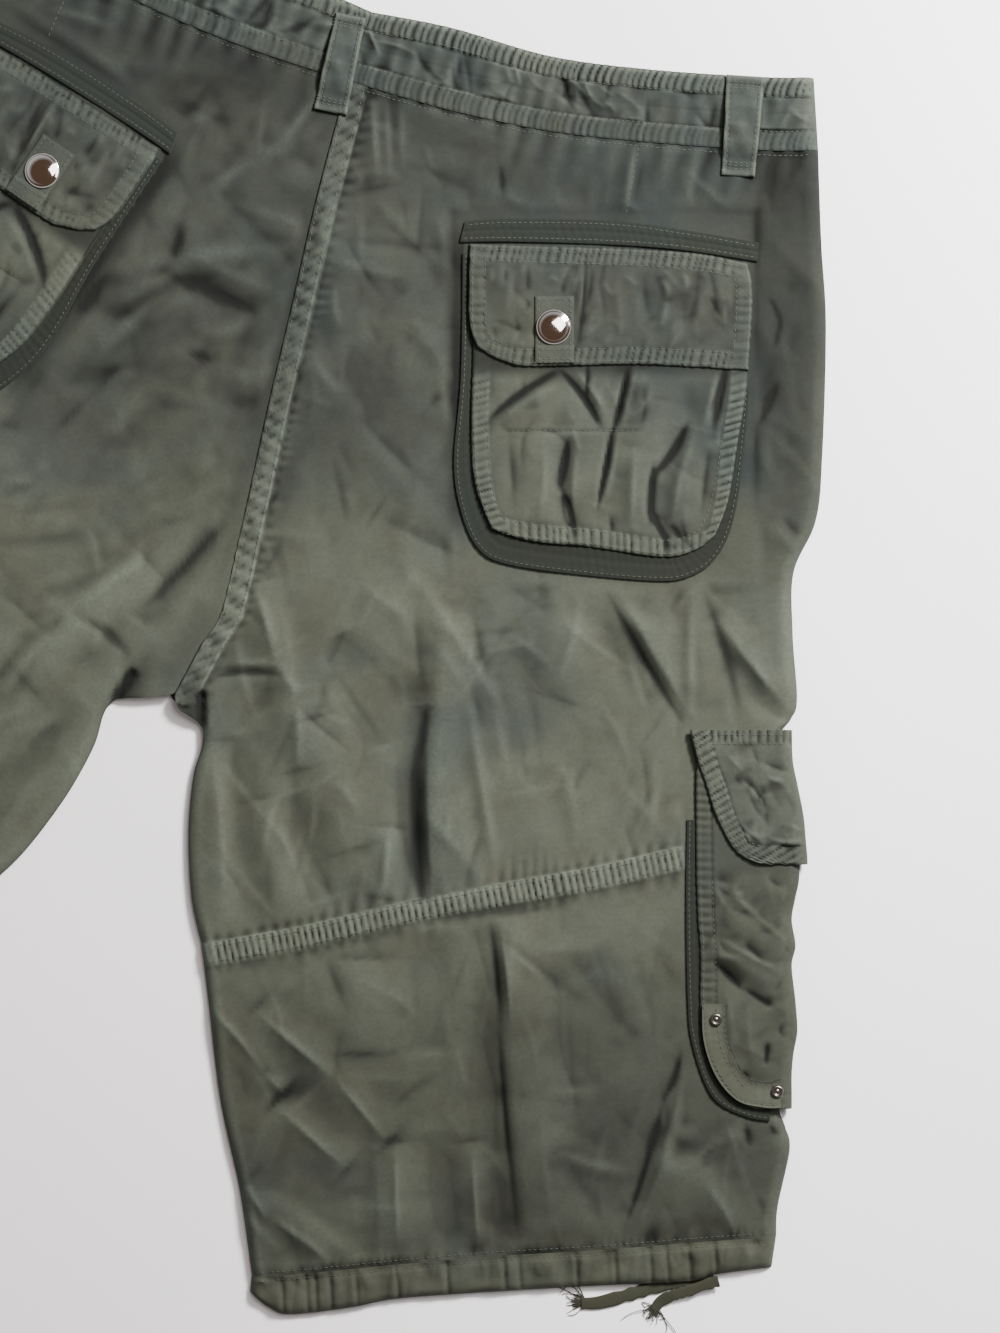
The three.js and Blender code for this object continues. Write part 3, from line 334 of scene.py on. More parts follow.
def waves(x: Array, y: Array, cell: float, seed: int) -> Array:
    """Smooth swells with finer ones on them, from about -1 to 1."""
    return 1.4 * (noise(x, y, cell, seed) - 0.5) + 0.7 * (noise(x, y, cell / 2.1, seed + 1) - 0.5)


def fold_height(rows: Array, across: Array, down: Array, crisp: bool = False) -> Array:
    """The height that the rows of a fold table give at places on the bench.

    Args:
        rows: a fold table.
        across: places across the bench.
        down: places down the bench.
        crisp: whether the crests are sharp, as pressed creases are.

    Returns:
        heights above the flat cloth.
    """
    height = np.zeros(np.shape(across))
    for start_a, start_d, end_a, end_d, bow, rise, inner, outer in rows:
        run = np.array([end_a - start_a, end_d - start_d])
        length = float(np.hypot(*run))
        run = run / length
        a, d = across - start_a, down - start_d
        share = (a * run[0] + d * run[1]) / length
        aside = a * run[1] - d * run[0]
        near = (share > 0) & (share < 1) & (np.abs(aside) < abs(bow) + 4 * max(inner, outer))
        share = share[near]
        aside = aside[near] - bow * 4 * share * (1 - share)
        away = aside / np.where(aside < 0, inner, outer)
        bell = np.exp(0.3 - 1.3 * np.sqrt(away ** 2 + 0.053)) if crisp else np.exp(-(away ** 2))
        height[near] += rise * bell * np.sin(np.pi * share) ** (1.2 if crisp else 0.6)
    return height


def scattered(seed: int, box: Sequence[float], count: int, heading: float, longest: float, rise: float,
              flank: float = 5) -> Array:
    """Rows of small creases over a box on the bench, each with its own length and lie.

    Args:
        seed: which of the scatters.
        box: across, down and the same at the far corner.
        count: how many.
        heading: their mean lean from straight down, in degrees.
        longest: length of the longest, in millimetres.
        rise: the most that one rises or falls.
        flank: the widest of their flanks.
    """
    random = np.random.default_rng(seed)
    across, down = random.uniform(box[0], box[2], count), random.uniform(box[1], box[3], count)
    lean = np.radians(random.normal(heading, 32, count))
    length = longest * random.uniform(0.3, 1, count)
    lift = rise * random.uniform(0.3, 1, count) * random.choice([-1, 1, 1], count)
    flanks = flank * random.uniform(0.36, 1, count)
    bow = random.normal(0, 2, count)
    return np.stack([across, down, across + length * np.sin(lean), down + length * np.cos(lean),
                     bow, lift, flanks, flanks * random.uniform(0.9, 2.4, count)], axis=-1)


def under_pocket(across: Array, down: Array, flat: float, clear: float) -> Array:
    """How far places lie under a pocket: 1 up to flat beside it and 0 from clear on."""
    cover = np.zeros(np.shape(across))
    for a0, d0, a1, d1 in POCKET_ZONES:
        aside = np.maximum(np.maximum(a0 - across, across - a1), 0)
        along = np.maximum(np.maximum(d0 - down, down - d1), 0)
        cover = np.maximum(cover, 1 - smoothstep(np.hypot(aside, along), flat, clear))
    return cover


def puckers(along: Array, pitch: float, seed: int) -> Array:
    """Uneven ribs along a seam, from -1 to 1, about a pitch apart."""
    drift = 2.2 * noise(along, along * 0 + seed, 5.5 * pitch, seed)
    strength = 0.45 + 0.8 * noise(along, along * 0 + 2 * seed, 2.6 * pitch, seed + 1)
    return np.sin(2 * np.pi * (along / pitch + drift)) * strength


def ribs(along: Array, pitch: float, seed: int, uneven: float = 1.0) -> Array:
    """Rounded ribs a pitch apart with narrow gaps between them, from -1 to 0.4."""
    drift = 1.6 * noise(along, along * 0 + seed, 4 * pitch, seed)
    drift = (drift + 0.5 * noise(along, along * 0, 1.3 * pitch, seed + 1)) * uneven
    depth = 0.8 + uneven * (0.9 * noise(along, along * 0 + 2 * seed, 1.7 * pitch, seed + 2) - 0.45)
    wave = np.abs(np.sin(np.pi * (along / pitch + drift)))
    return (1.4 * wave ** 0.55 - 1) * depth


def gathers(along: Array, distance: Array, reach: float, pitch: float, seed: int) -> Array:
    """Small pleats that fade away from a seam, some of them sooner than others."""
    far = reach * (0.15 + 0.85 * noise(along, along * 0 + 3 * seed, 1.6 * pitch, seed) ** 1.5)
    fade = 1 - smoothstep(distance, 0.5, far + 1)
    return puckers(along, pitch, seed + 2) * fade * smoothstep(distance, 0, 1.5)


# Small creases of the back: step of the seed, box, count, heading, longest, rise and flank
CRUMPLES = (
    (0, (20, -330, 340, -60), 110, 20, 48, 0.7, 5), (1, (20, -60, 340, 100), 110, 0, 60, 0.6, 5),
    (2, (20, 105, 340, 290), 120, 10, 60, 0.45, 5), (3, (20, -330, 340, 270), 90, 30, 120, 1.7, 14),
    (5, (20, -330, 345, -150), 80, 35, 90, 1.4, 10))
CLOTH_SEEDS = {Side.RIGHT: 10, Side.LEFT: 40}
SEAT_SHADES = {Side.RIGHT: 0.36, Side.LEFT: 0.45}
MAIN_FOLD_SHARE = 0.8
SOFT_TROUGH = 1.3

# Widths over which the bands of the knee seam and the seat seam end
BAND_EDGE = (11, 12.6)
FELL_EDGE = (11, 12.4)


@dataclass
class BackCloth:
    """The outer face of the back of one half: its height anywhere on the bench."""

    side: Side

    def seat_distance(self, place: Array) -> Array:
        """Distance out from the seat seam; far from it below the crotch."""
        up = place[..., 1] + CROTCH_BELOW_CENTRE
        bow = np.interp(up, SEAT_UP[::-1, 0], SEAT_UP[::-1, 1])
        out = place[..., 0] - self.side.value * bow
        return out + 60 * (1 - smoothstep(up, -2, 5))

    def knee_distance(self, across: Array, down: Array) -> Array:
        """Distance below the knee seam, and less than zero above it."""
        return down - np.interp(across, KNEE_SEAM[:, 0], KNEE_SEAM[:, 1])

    def hem_distance(self, across: Array, down: Array) -> Array:
        """Distance above the hem seam."""
        return np.interp(across, HEM_SEAM[:, 0], HEM_SEAM[:, 1]) - down

    def waist_distance(self, place: Array) -> Array:
        """Distance below the waist seam."""
        rows = np.vstack([[0, 352], WAIST_SEAM])
        return np.interp(place[..., 0], rows[:, 0], rows[:, 1]) - place[..., 1] - CROTCH_BELOW_CENTRE

    def height(self, place: Array) -> Array:
        """Height of the outer face at places in plan."""
        across, down = to_bench(place)
        seat = self.seat_distance(place)
        clear = smoothstep(seat, 0, 24)
        main = MAIN_FOLD_SHARE * fold_height(MAIN_FOLDS[self.side], across, down)
        main = np.maximum(main * (1 - under_pocket(across, down, 10, 28)), -DEEPEST_TROUGH)
        main *= smoothstep(self.hem_distance(across, down), -2, 18)
        main *= 1 - 0.25 * np.exp(-(((across - 282) / 30) ** 2) - ((down + 20) / 40) ** 2)
        seed = CLOTH_SEEDS[self.side]
        fine = fold_height(FINE_FOLDS[self.side], across, down, True) * smoothstep(seat, 2, 14)
        small = np.zeros_like(across)
        for step, *crumple in CRUMPLES:
            small += fold_height(scattered(seed + step, *crumple), across, down, True)
        small += 1.2 * waves(across, down * 0.6, 40, seed + 4)
        fine += small + 0.15 * waves(across, down, 9, seed + 6)
        fine += 0.5 * waves(across, down, 24, seed + 8) * (1 - smoothstep(down, -140, -20))
        fine *= (1 - under_pocket(across, down, -3, 7)) * smoothstep(seat, 0, 8)
        fine *= smoothstep(self.hem_distance(across, down), 0, 6)
        fine *= smoothstep(self.waist_distance(place), 0, 4)
        height = main * clear + fine
        height = np.where(height < -SOFT_TROUGH, 0.5 * (height - SOFT_TROUGH), height)
        return BACK_TOP + height + self.seams(place, across, down, seat)

    def seams(self, place: Array, across: Array, down: Array, seat: Array) -> Array:
        """The raised bands of the seams, with their ribs and the gathers beside them."""
        knee, hem = self.knee_distance(across, down), self.hem_distance(across, down)
        waist = self.waist_distance(place)
        open_cloth = 1 - under_pocket(across, down, -2, 5)
        band = smoothstep(knee, -0.3, 0.5) * (1 - smoothstep(knee, *BAND_EDGE))
        relief = band * (0.8 + 1.3 * ribs(across - 0.21 * down, 3.9, 3, 0.45) + 0.3 * puckers(across, 19, 4))
        relief += 0.3 * gathers(across, -knee, 28, 7.5, 5) + 0.2 * gathers(across, knee - 12.6, 22, 8, 6)
        if self.side is Side.RIGHT:
            fell = smoothstep(seat, 0, 0.6) * (1 - smoothstep(seat, *FELL_EDGE))
            rumple = 0.3 * puckers(down - 0.5 * seat, 9, 8) + 0.25 * waves(down, 2 * seat, 8, 12)
            relief += fell * (0.8 + 0.5 * ribs(down + 0.7 * seat, 6.2, 7, 0.5) + rumple)
            relief -= 0.25 * bump(seat - 10.4, 0.6)
            relief += 0.22 * gathers(down, seat - 12.4, 16, 6.5, 9)
        relief += 0.45 * gathers(place[..., 0], waist, 50, 13, 11)
        relief += 0.3 * gathers(across, hem, 40, 15, 13) + 0.2 * gathers(across, hem, 12, 5, 15)
        beside_crotch = smoothstep(down, -10, -4) * (1 - smoothstep(down, 8, 18))
        return relief * open_cloth - 3.4 * bump(across - 22, 2.6) * beside_crotch

    def worn(self, place: Array) -> Array:
        """Where the dye has rubbed off: along the raised seams, from 0 to 1."""
        across, down = to_bench(place)
        knee = self.knee_distance(across, down)
        open_cloth = 1 - under_pocket(across, down, -2, 5)
        rub = 0.16 * smoothstep(knee, -0.5, 0.5) * (1 - smoothstep(knee, 11.5, 13)) * open_cloth
        rub += 0.4 * bump(knee, 0.9) * open_cloth
        if self.side is Side.RIGHT:
            seat = self.seat_distance(place)
            edge = bump(seat - 11.6, 0.9)
            rub = rub + 0.22 * smoothstep(seat, 0, 1) * (1 - smoothstep(seat, 11, 13)) + 0.5 * edge
        return np.clip(rub, 0, 1)

    def shade(self, place: Array) -> Array:
        """Where the cloth is painted darker: over the seat, down the leg, in random patches and over the
        outer thigh, with painted shade by the outseam beside the pocket and painted shadow left of the pocket
        and at the crotch.
        """
        across, down = to_bench(place)
        seat = SEAT_SHADES[self.side] * (1 - smoothstep(down, -190, -20))
        seat += 0.08 * (1 - smoothstep(down, -300, -220))
        # Painted shade where the cloth turns away by the outseam beside the pocket.
        beside = 0.25 * smoothstep(across, 316, 330) * (1 - smoothstep(down, -120, -50))
        patchy = 0.18 * waves(across, down, 70, 91) * (1 - smoothstep(down, -120, 0))
        leg = 0.2 * smoothstep(down, 110, 190) * (1 + smoothstep(across, 120, 220))
        thigh = 0.14 * np.exp(-(((across - 280) / 50) ** 2) - ((down + 30) / 45) ** 2)
        # Painted shadow under the raised edge at the crotch.
        crotch = 0.8 * np.exp(-(((across - 18) / 8) ** 2) - ((down - 2) / 20) ** 2)
        # Painted shadow along the left edge of the pocket.
        pocket = 0.55 * np.exp(-(np.maximum(161 - across, 0) / 6) ** 2) * (across < 164) \
            * smoothstep(down, -262, -240) * (1 - smoothstep(down, -110, -85))
        return 0.05 + seat + beside + patchy + leg + thigh + crotch + pocket


# Meshes

def join_lines(faces: list, first: Sequence[int], second: Sequence[int]) -> None:
    """Adds the triangles between two lines of points that start and end side by side."""
    i, j = 0, 0
    while i < len(first) - 1 or j < len(second) - 1:
        if (i + 1) / (len(first) - 1) <= (j + 1) / (len(second) - 1):
            faces.append((first[i], first[i + 1], second[j]))
            i += 1
        else:
            faces.append((first[i], second[j + 1], second[j]))
            j += 1


def grid_faces(numbers: Array) -> Array:
    """The four-sided faces of a grid of point numbers, seen from outside."""
    a, b, c, d = numbers[:-1, :-1], numbers[1:, :-1], numbers[1:, 1:], numbers[:-1, 1:]
    return np.stack([a, b, c, d], axis=-1).reshape(-1, 4)


def blurred(height: Array, reach: int) -> Array:
    """Means of a grid over a square of the given reach in points."""
    result = height
    for axis in (0, 1):
        pad = [(reach + 1, reach) if k == axis else (0, 0) for k in (0, 1)]
        total = np.cumsum(np.pad(result, pad, mode="edge"), axis=axis)
        count = 2 * reach + 1
        upper = np.take(total, range(count, total.shape[axis]), axis=axis)
        lower = np.take(total, range(0, total.shape[axis] - count), axis=axis)
        result = (upper - lower) / count
    return result


@dataclass
class Shell:
    """A closed wall of cloth between an outer and an inner grid of points, in millimetres.

    The outer grid may be finer. Both have rows down the cloth and columns across it.
    """

    name: str
    outer: Array
    inner: Array
    worn: Optional[Array] = None
    side: Side = Side.RIGHT
    shade: Optional[Array | float] = None

    def rim(self, grid: Array, part: str) -> list:
        """The point numbers of one edge of a grid, in the order that joins outwards."""
        edges = {"top": grid[0], "bottom": grid[-1][::-1], "left": grid[::-1, 0], "right": grid[:, -1]}
        return edges[part].tolist()

    def build(self) -> bpy.types.Object:
        """Makes the object, with its cloth map and the two tone attributes."""
        count = self.outer.shape[0] * self.outer.shape[1]
        face = np.arange(count).reshape(self.outer.shape[:2])
        back = count + np.arange(self.inner.shape[0] * self.inner.shape[1]).reshape(self.inner.shape[:2])
        points = np.vstack([self.outer.reshape(-1, 3), self.inner.reshape(-1, 3)])
        quads = np.vstack([grid_faces(face), grid_faces(back)[:, ::-1]])
        rims: list = []
        for part in ("top", "bottom", "left", "right"):
            join_lines(rims, self.rim(face, part), self.rim(back, part))
        triangles = np.array(rims)
        if self.side is Side.LEFT:
            quads, triangles = quads[:, ::-1], triangles[:, ::-1]
        across, down = to_bench(points[:, :2])
        placed = points * np.array([self.side.value, 1, 1]) * MM
        obj = mesh_object(self.name, placed, quads, triangles)
        set_cloth_map(obj.data, across, down)
        worn, deep = self.tones(count, len(points))
        set_tone(obj.data, "worn", worn)
        set_tone(obj.data, "deep", deep)
        return obj

    def tones(self, count: int, total: int) -> tuple[Array, Array]:
        """How light and how dark each point is painted: painted highlight on the crests of the relief,
        painted shade in its hollows, and the wear, painted shade and darker tone that the piece gives.
        """
        height = self.outer[..., 2]
        worn, deep = np.zeros(total), np.zeros(total)
        if min(height.shape) > 24:
            near, wide = height - blurred(height, 3), height - blurred(height, 9)
            # Crests of the relief get painted highlight and its hollows get painted shade.
            crest = np.clip(near / 0.6, 0, 1) * 0.3 + np.clip(wide / 3, 0, 1) * 0.15
            hollow = np.clip(-near / 0.5, 0, 1) * 0.5 + np.clip(-wide / 2.5, 0, 1) * 0.35
            worn[:count], deep[:count] = crest.ravel(), hollow.ravel()
        if self.worn is not None:
            worn[:count] = np.clip(worn[:count] + self.worn.ravel(), 0, 1)
        if self.shade is not None:
            deep[:count] = np.clip(deep[:count] + np.ravel(self.shade), 0, 1)
        return worn, deep


def mesh_object(name: str, points: Array, quads: Array, triangles: Array) -> bpy.types.Object:
    """A smooth-shaded mesh object at the origin.

    Args:
        name: the object's name.
        points: its points, in metres.
        quads: four-sided faces.
        triangles: three-sided faces.

    Returns:
        the object, linked to the scene.
    """
    mesh = bpy.data.meshes.new(name)
    loops = np.concatenate([np.asarray(quads).ravel(), np.asarray(triangles).ravel()]).astype(np.int32)
    sizes = np.concatenate([np.full(len(quads), 4), np.full(len(triangles), 3)]).astype(np.int32)
    mesh.vertices.add(len(points))
    mesh.vertices.foreach_set("co", np.asarray(points, dtype=np.float32).ravel())
    mesh.loops.add(len(loops))
    mesh.loops.foreach_set("vertex_index", loops)
    mesh.polygons.add(len(sizes))
    mesh.polygons.foreach_set("loop_start", np.concatenate([[0], np.cumsum(sizes)[:-1]]).astype(np.int32))
    mesh.polygons.foreach_set("loop_total", sizes)
    mesh.update(calc_edges=True)
    mesh.validate()
    mesh.shade_smooth()
    mesh.set_sharp_from_angle(angle=math.radians(50))
    obj = bpy.data.objects.new(name, mesh)
    bpy.context.scene.collection.objects.link(obj)
    return obj


def set_cloth_map(mesh: bpy.types.Mesh, across: Array, down: Array) -> None:
    """Stores bench places, in metres, as the map that the weave follows."""
    corners = np.empty(len(mesh.loops), dtype=np.int32)
    mesh.loops.foreach_get("vertex_index", corners)
    uv = np.stack([across, -down], axis=-1)[corners] * MM
    mesh.uv_layers.new(name="cloth").data.foreach_set("uv", uv.astype(np.float32).ravel())


def set_tone(mesh: bpy.types.Mesh, name: str, values: Array) -> None:
    """Stores one number a point."""
    layer = mesh.attributes.new(name, "FLOAT", "POINT")
    layer.data.foreach_set("value", np.asarray(values, dtype=np.float32))


def lowest_near(height: Array, reach: int) -> Array:
    """The lowest height within a reach of each point of a grid."""
    result = height
    for axis in (0, 1):
        pad = [(reach, reach) if k == axis else (0, 0) for k in (0, 1)]
        wide = np.pad(result, pad, mode="edge")
        size = result.shape[axis]
        result = np.min([np.take(wide, range(k, k + size), axis=axis) for k in range(2 * reach + 1)], axis=0)
    return result


def every(count: int, step: int) -> Array:
    """Indexes from the first to the last of a row, a step apart."""
    return np.unique(np.append(np.arange(0, count, step), count - 1))


def inner_of(outer: Array, wall: float, step: int = 4) -> Array:
    """A coarser inner face that stays a wall's thickness below an outer one everywhere."""
    low = outer.copy()
    low[..., 2] = lowest_near(outer[..., 2], step) - wall
    return low[every(outer.shape[0], step)][:, every(outer.shape[1], step)]


@dataclass
class RolledPanel:
    """A panel whose sides roll down to the surface.

    Attributes:
        name: the node that it stands for.
        side: which half it belongs to.
        patch: its shape in plan.
        wall: the thickness of its cloth.
        height: the height of its outer face from places, shares across and shares down.
        worn: how rubbed its face is at places in plan.
        shade: how much darker its face is painted at places in plan, as painted shade and darker tone.
        inner_roll: how far the inner edge rolls at shares down.
        cell: the size of its faces.
    """

    name: str
    side: Side
    patch: Patch
    wall: float
    height: Callable[[Array, Array, Array], Array]
    worn: Optional[Callable[[Array], Array]] = None
    inner_roll: Callable[[Array], Array] = lambda v: np.ones_like(v)
    cell: float = 1.4
    cell_down: Optional[float] = None
    shade: Callable[[Array], Array] = lambda place: 0 * place[..., 0]

    def grid(self, rows: Array, middle: int, turns: int, depth: float) -> tuple[Array, Array, Array]:
        """Plan places, the foot of the roll and its rise for a grid of the panel.

        Args:
            rows: shares down.
            middle: faces between the rolls.
            turns: faces round each roll.
            depth: how far inside the outer face.

        Returns:
            places, shares across, and the share of the rise at each point.
        """
        reach = float(np.linalg.norm(self.patch.place(0.5, 0) - self.patch.place(0.5, 1)))
        v = np.clip(rows, SHELL_GAP / reach, 1 - SHELL_GAP / reach)[:, None]
        width = np.linalg.norm(self.patch.place(0 * v, v) - self.patch.place(0 * v + 1, v), axis=-1)
        turn = np.linspace(0, 1, turns, endpoint=False)[None, :]
        angle = turn * np.pi / 2
        shares, rises = [], []
        for roll in (self.inner_roll(v), np.ones_like(v)):
            bent = BACK_TOP - (BACK_TOP - depth) * np.cos(angle)
            shares.append((BACK_TOP * turn * (1 - roll) + bent * roll) / width)
            rises.append(1 - roll + np.sin(angle) * roll)
        body = (BACK_TOP + (width - 2 * BACK_TOP) * np.linspace(0, 1, middle + 1)[None, :]) / width
        u = np.hstack([shares[0], body, 1 - shares[1][:, ::-1]])
        rise = np.hstack([rises[0], np.ones_like(body), rises[1][:, ::-1]])
        return self.patch.place(u, np.broadcast_to(v, u.shape)), u, rise

    def shell(self) -> Shell:
        """Works out the panel's wall."""
        left, right = self.patch.place(0, 0.5), self.patch.place(1, 0.5)
        width = float(np.linalg.norm(right - left))
        length = float(np.linalg.norm(self.patch.left(np.linspace(0, 1, 60))[1:]
                                      - self.patch.left(np.linspace(0, 1, 60))[:-1], axis=-1).sum())
        coarse, turns = 4, 8
        middle = coarse * max(6, round(width / self.cell / coarse))
        count = coarse * max(3, round(length / (self.cell_down or self.cell) / coarse))
        rows = np.linspace(0, 1, count + 1)
        place, u, rise = self.grid(rows, middle, turns, 0)
        top = self.height(place, u, np.broadcast_to(rows[:, None], u.shape))
        foot = np.interp(to_bench(place)[1], SIDE_LIFT[:, 0], SIDE_LIFT[:, 1])
        outer = np.dstack([place, foot + (top - foot) * rise])
        low = lowest_near(top, coarse)[every(count + 1, coarse)]
        flat_part = low[:, turns:turns + middle + 1:coarse]
        low = np.hstack([low[:, :turns:2], flat_part, low[:, turns + middle + 2::2]])
        place, u, rise = self.grid(rows[::coarse], middle // coarse, turns // 2, self.wall)
        foot = np.interp(to_bench(place)[1], SIDE_LIFT[:, 0], SIDE_LIFT[:, 1])
        inner = np.dstack([place, np.maximum(foot + (low - self.wall - foot) * rise, 0)])
        worn = None if self.worn is None else self.worn(outer[..., :2])
        shade = self.shade(outer[..., :2])
        return Shell(f"{self.name}_cloth_{self.side.word}", outer, inner, worn, self.side, shade)


def seat_points(side: Side) -> Array:
    """Plan points of the seat seam as the given half sees it."""
    out = side.value * SEAT_UP[:, 1] + SEAM_GAP / 2
    return waist_points(np.stack([out, SEAT_UP[:, 0]], axis=-1))


def inner_edge(middle: Array, leg: Array, row_share: float) -> Curve:
    """The inner edge of a half: its middle seam down to a share of the rows, then its leg."""
    seam, inseam = line(middle), line(np.vstack([middle[-1:], waist_points(CROTCH), leg]))
    return lambda v: np.where(
        (np.asarray(v) < row_share)[..., None],
        seam(np.clip(np.asarray(v) / row_share, 0, 1)),
        inseam(np.clip((np.asarray(v) - row_share) / (1 - row_share), 0, 1)))


def waist_seam(start: Array) -> Curve:
    """The waist seam from the middle seam to the outseam."""
    return line(np.vstack([start[None, :], waist_points(WAIST_SEAM)]))


@dataclass
class BackPanels:
    """The upper back and the lower back of one half, from the waist seam to the hem seam."""

    side: Side
    cell: float
    seat_share: float = 17 / 24
    roll_share: float = 20 / 24

    def shells(self) -> list[Shell]:
        """Works out both panels."""
        cloth = BackCloth(self.side)
        seat = seat_points(self.side)
        outseam = np.vstack([waist_points(WAIST_SEAM[-1:]), bench_points(OUTSEAM_UPPER[1:])])
        upper = Patch(
            top=waist_seam(seat[0]), bottom=bench_line(KNEE_SEAM),
            left=inner_edge(seat, bench_points(INSEAM_UPPER), self.seat_share), right=line(outseam))
        lower = Patch(
            top=bench_line(KNEE_SEAM), bottom=bench_line(HEM_SEAM),
            left=bench_line(INSEAM_LOWER), right=bench_line(OUTSEAM_LOWER))
        roll = lambda v: smoothstep(v, self.seat_share, self.roll_share)
        height = lambda place, u, v: cloth.height(place)
        return [
            RolledPanel("back_upper", self.side, upper, BACK_WALL, height, cloth.worn, roll, self.cell,
                        shade=cloth.shade).shell(),
            RolledPanel("back_lower", self.side, lower, BACK_WALL, height, cloth.worn, cell=0.65 * self.cell,
                        cell_down=1.3 * self.cell, shade=cloth.shade).shell(),
        ]


WAIST_CREASES = table(
    (111.8, -358.6, 140.4, -349.9, 2, 1.0, 2.5, 4), (162, -352, 161, -337, 0, -0.8, 2.5, 3),
    (221.4, -338, 217, -326, 0, -0.8, 2.5, 3), (243, -338, 240.8, -326, 0, -0.8, 2.5, 3),
    (263.5, -328, 262, -302, 0, -1.0, 2.2, 3), (186, -346, 190, -334, 0, 0.7, 3, 4),
    (300, -326, 297, -310, 0, -0.7, 2.5, 3), (86, -366, 84, -350, 0, -0.7, 3, 3))
HEM_CREASES = (66, 79, 84, 92, 106, 128, 155, 186, 194, 225, 246, 265, 274, 286, 300)


@dataclass
class Waistband:
    """The elasticated waistband, gathered along its two stitched rows."""

    side: Side
    cell: float
    row_share: float = 0.27

    def patch(self) -> Patch:
        """The band's shape in plan, with its top edge first."""
        seam = waist_seam(seat_points(self.side)[0])
        edge = line(waist_points(WAIST_EDGE) + np.array([SEAM_GAP / 2, 0]))
        start, end = np.array(0.0), np.array(1.0)
        return Patch(edge, seam, straight(edge(start), seam(start)), straight(edge(end), seam(end)))

    def height(self, place: Array, u: Array, v: Array) -> Array:
        """Height of the gathered face."""
        across, down = to_bench(place)
        along = place[..., 0]
        rows = 1 - smoothstep(v, self.row_share - 0.02, self.row_share + 0.03) \
            + smoothstep(v, 0.97 - self.row_share, 1.02 - self.row_share)
        wave = 0.6 * np.cos(2 * np.pi * WAIST_GATHERS * u) + 0.5 * puckers(along, 10.4, 23)
        fine = ribs(along + 1.5 * np.sin(9 * v), 3.8, 21) * (0.8 - 0.45 * smoothstep(v, 0.4, 0.6))
        height = WAIST_TOP + rows * (0.3 + 1.6 * fine + 0.25 * wave) + (1 - rows) * 0.35 * wave
        small = scattered(25, (10, -410, 350, -290), 190, 35, 30, 2.1, 4)
        creases = fold_height(np.vstack([WAIST_CREASES, WAIST_CREASES, small]), across, down, True)
        height += (1 - rows) * (creases + 1.1 * waves(across, down, 13, 26))
        for share in (self.row_share, 1 - self.row_share, 0.5):
            height -= (0.4 if share != 0.5 else 0.12) * bump(v - share, 0.02)
        return height - 1.3 * np.exp(-(v / 0.03) ** 1.5) - 0.4 * np.exp(-((1 - v) / 0.02) ** 1.5)

    def worn(self, place: Array) -> Array:
        """The top edge is rubbed most."""
        up = place[..., 1] + CROTCH_BELOW_CENTRE
        edge = np.interp(place[..., 0], WAIST_EDGE[:, 0], WAIST_EDGE[:, 1]) - up
        return 0.45 * bump(edge, 2.5) + 0.15 * (1 - smoothstep(edge, 8, 12))

    def shell(self) -> Shell:
        """Works out the band."""
        flat = lambda v: np.zeros_like(v)
        panel = RolledPanel("waistband_back", self.side, self.patch(), WAIST_WALL, self.height, self.worn,
                            flat, self.cell, 0.6 * self.cell, lambda place: 0.26 + 0 * place[..., 0])
        return panel.shell()


@dataclass
class Hem:
    """The hem casing that the drawcord gathers."""

    side: Side
    cell: float

    def height(self, place: Array, u: Array, v: Array) -> Array:
        """Height of the gathered casing."""
        across, down = to_bench(place)
        gather = 0.5 * np.cos(2 * np.pi * HEM_GATHERS * u) + 0.5 * puckers(across, 13, 31)
        small = scattered(35, (50, 290, 330, 325), 90, 8, 16, 0.9)
        small[:, 1] = np.interp(small[:, 0], HEM_SEAM[:, 0], HEM_SEAM[:, 1]) - 2
        small[:, 3] = small[:, 1] + 10 + 8 * np.abs(np.sin(small[:, 0]))
        height = BACK_TOP - HEM_FALL * v + np.sin(np.pi * v) ** 0.5 * (0.3 + 0.7 * gather)
        rumple = fold_height(small, across, down, True) + 0.5 * waves(across, down, 9, 36)
        height += smoothstep(v, 0.02, 0.2) * rumple
        height += 0.25 * ribs(across + 3 * v, 7.5, 33) * (0.3 + 0.7 * np.sin(np.pi * v))
        height += 0.7 * puckers(across + 5 * v, 24, 37) * np.sin(np.pi * v)
        for crease in HEM_CREASES:
            height -= 1.1 * bump(across - crease - 1.5 * (v - 0.5), 1.4) * np.sin(np.pi * v) ** 0.3
        height -= 0.4 * bump(v - 0.12, 0.05)
        return height - 2.2 * np.exp(-((1 - v) / 0.09) ** 1.5)

    def shell(self) -> Shell:
        """Works out the casing."""
        seam, edge = bench_points(HEM_SEAM), bench_points(HEM_EDGE)
        patch = Patch(line(seam), line(edge), straight(seam[0], edge[0]), straight(seam[-1], edge[-1]))
        shade = lambda place: 0.12 + 0 * place[..., 0]
        return RolledPanel("hem_back", self.side, patch, HEM_WALL, self.height, cell=self.cell,
                           cell_down=0.6 * self.cell, shade=shade).shell()


FRONT_LIFT_COLUMNS = (0.56, 0.64)
FRONT_LIFT_ROWS = (0.47, 0.51, 0.69, 0.74, 0.92, 0.97)


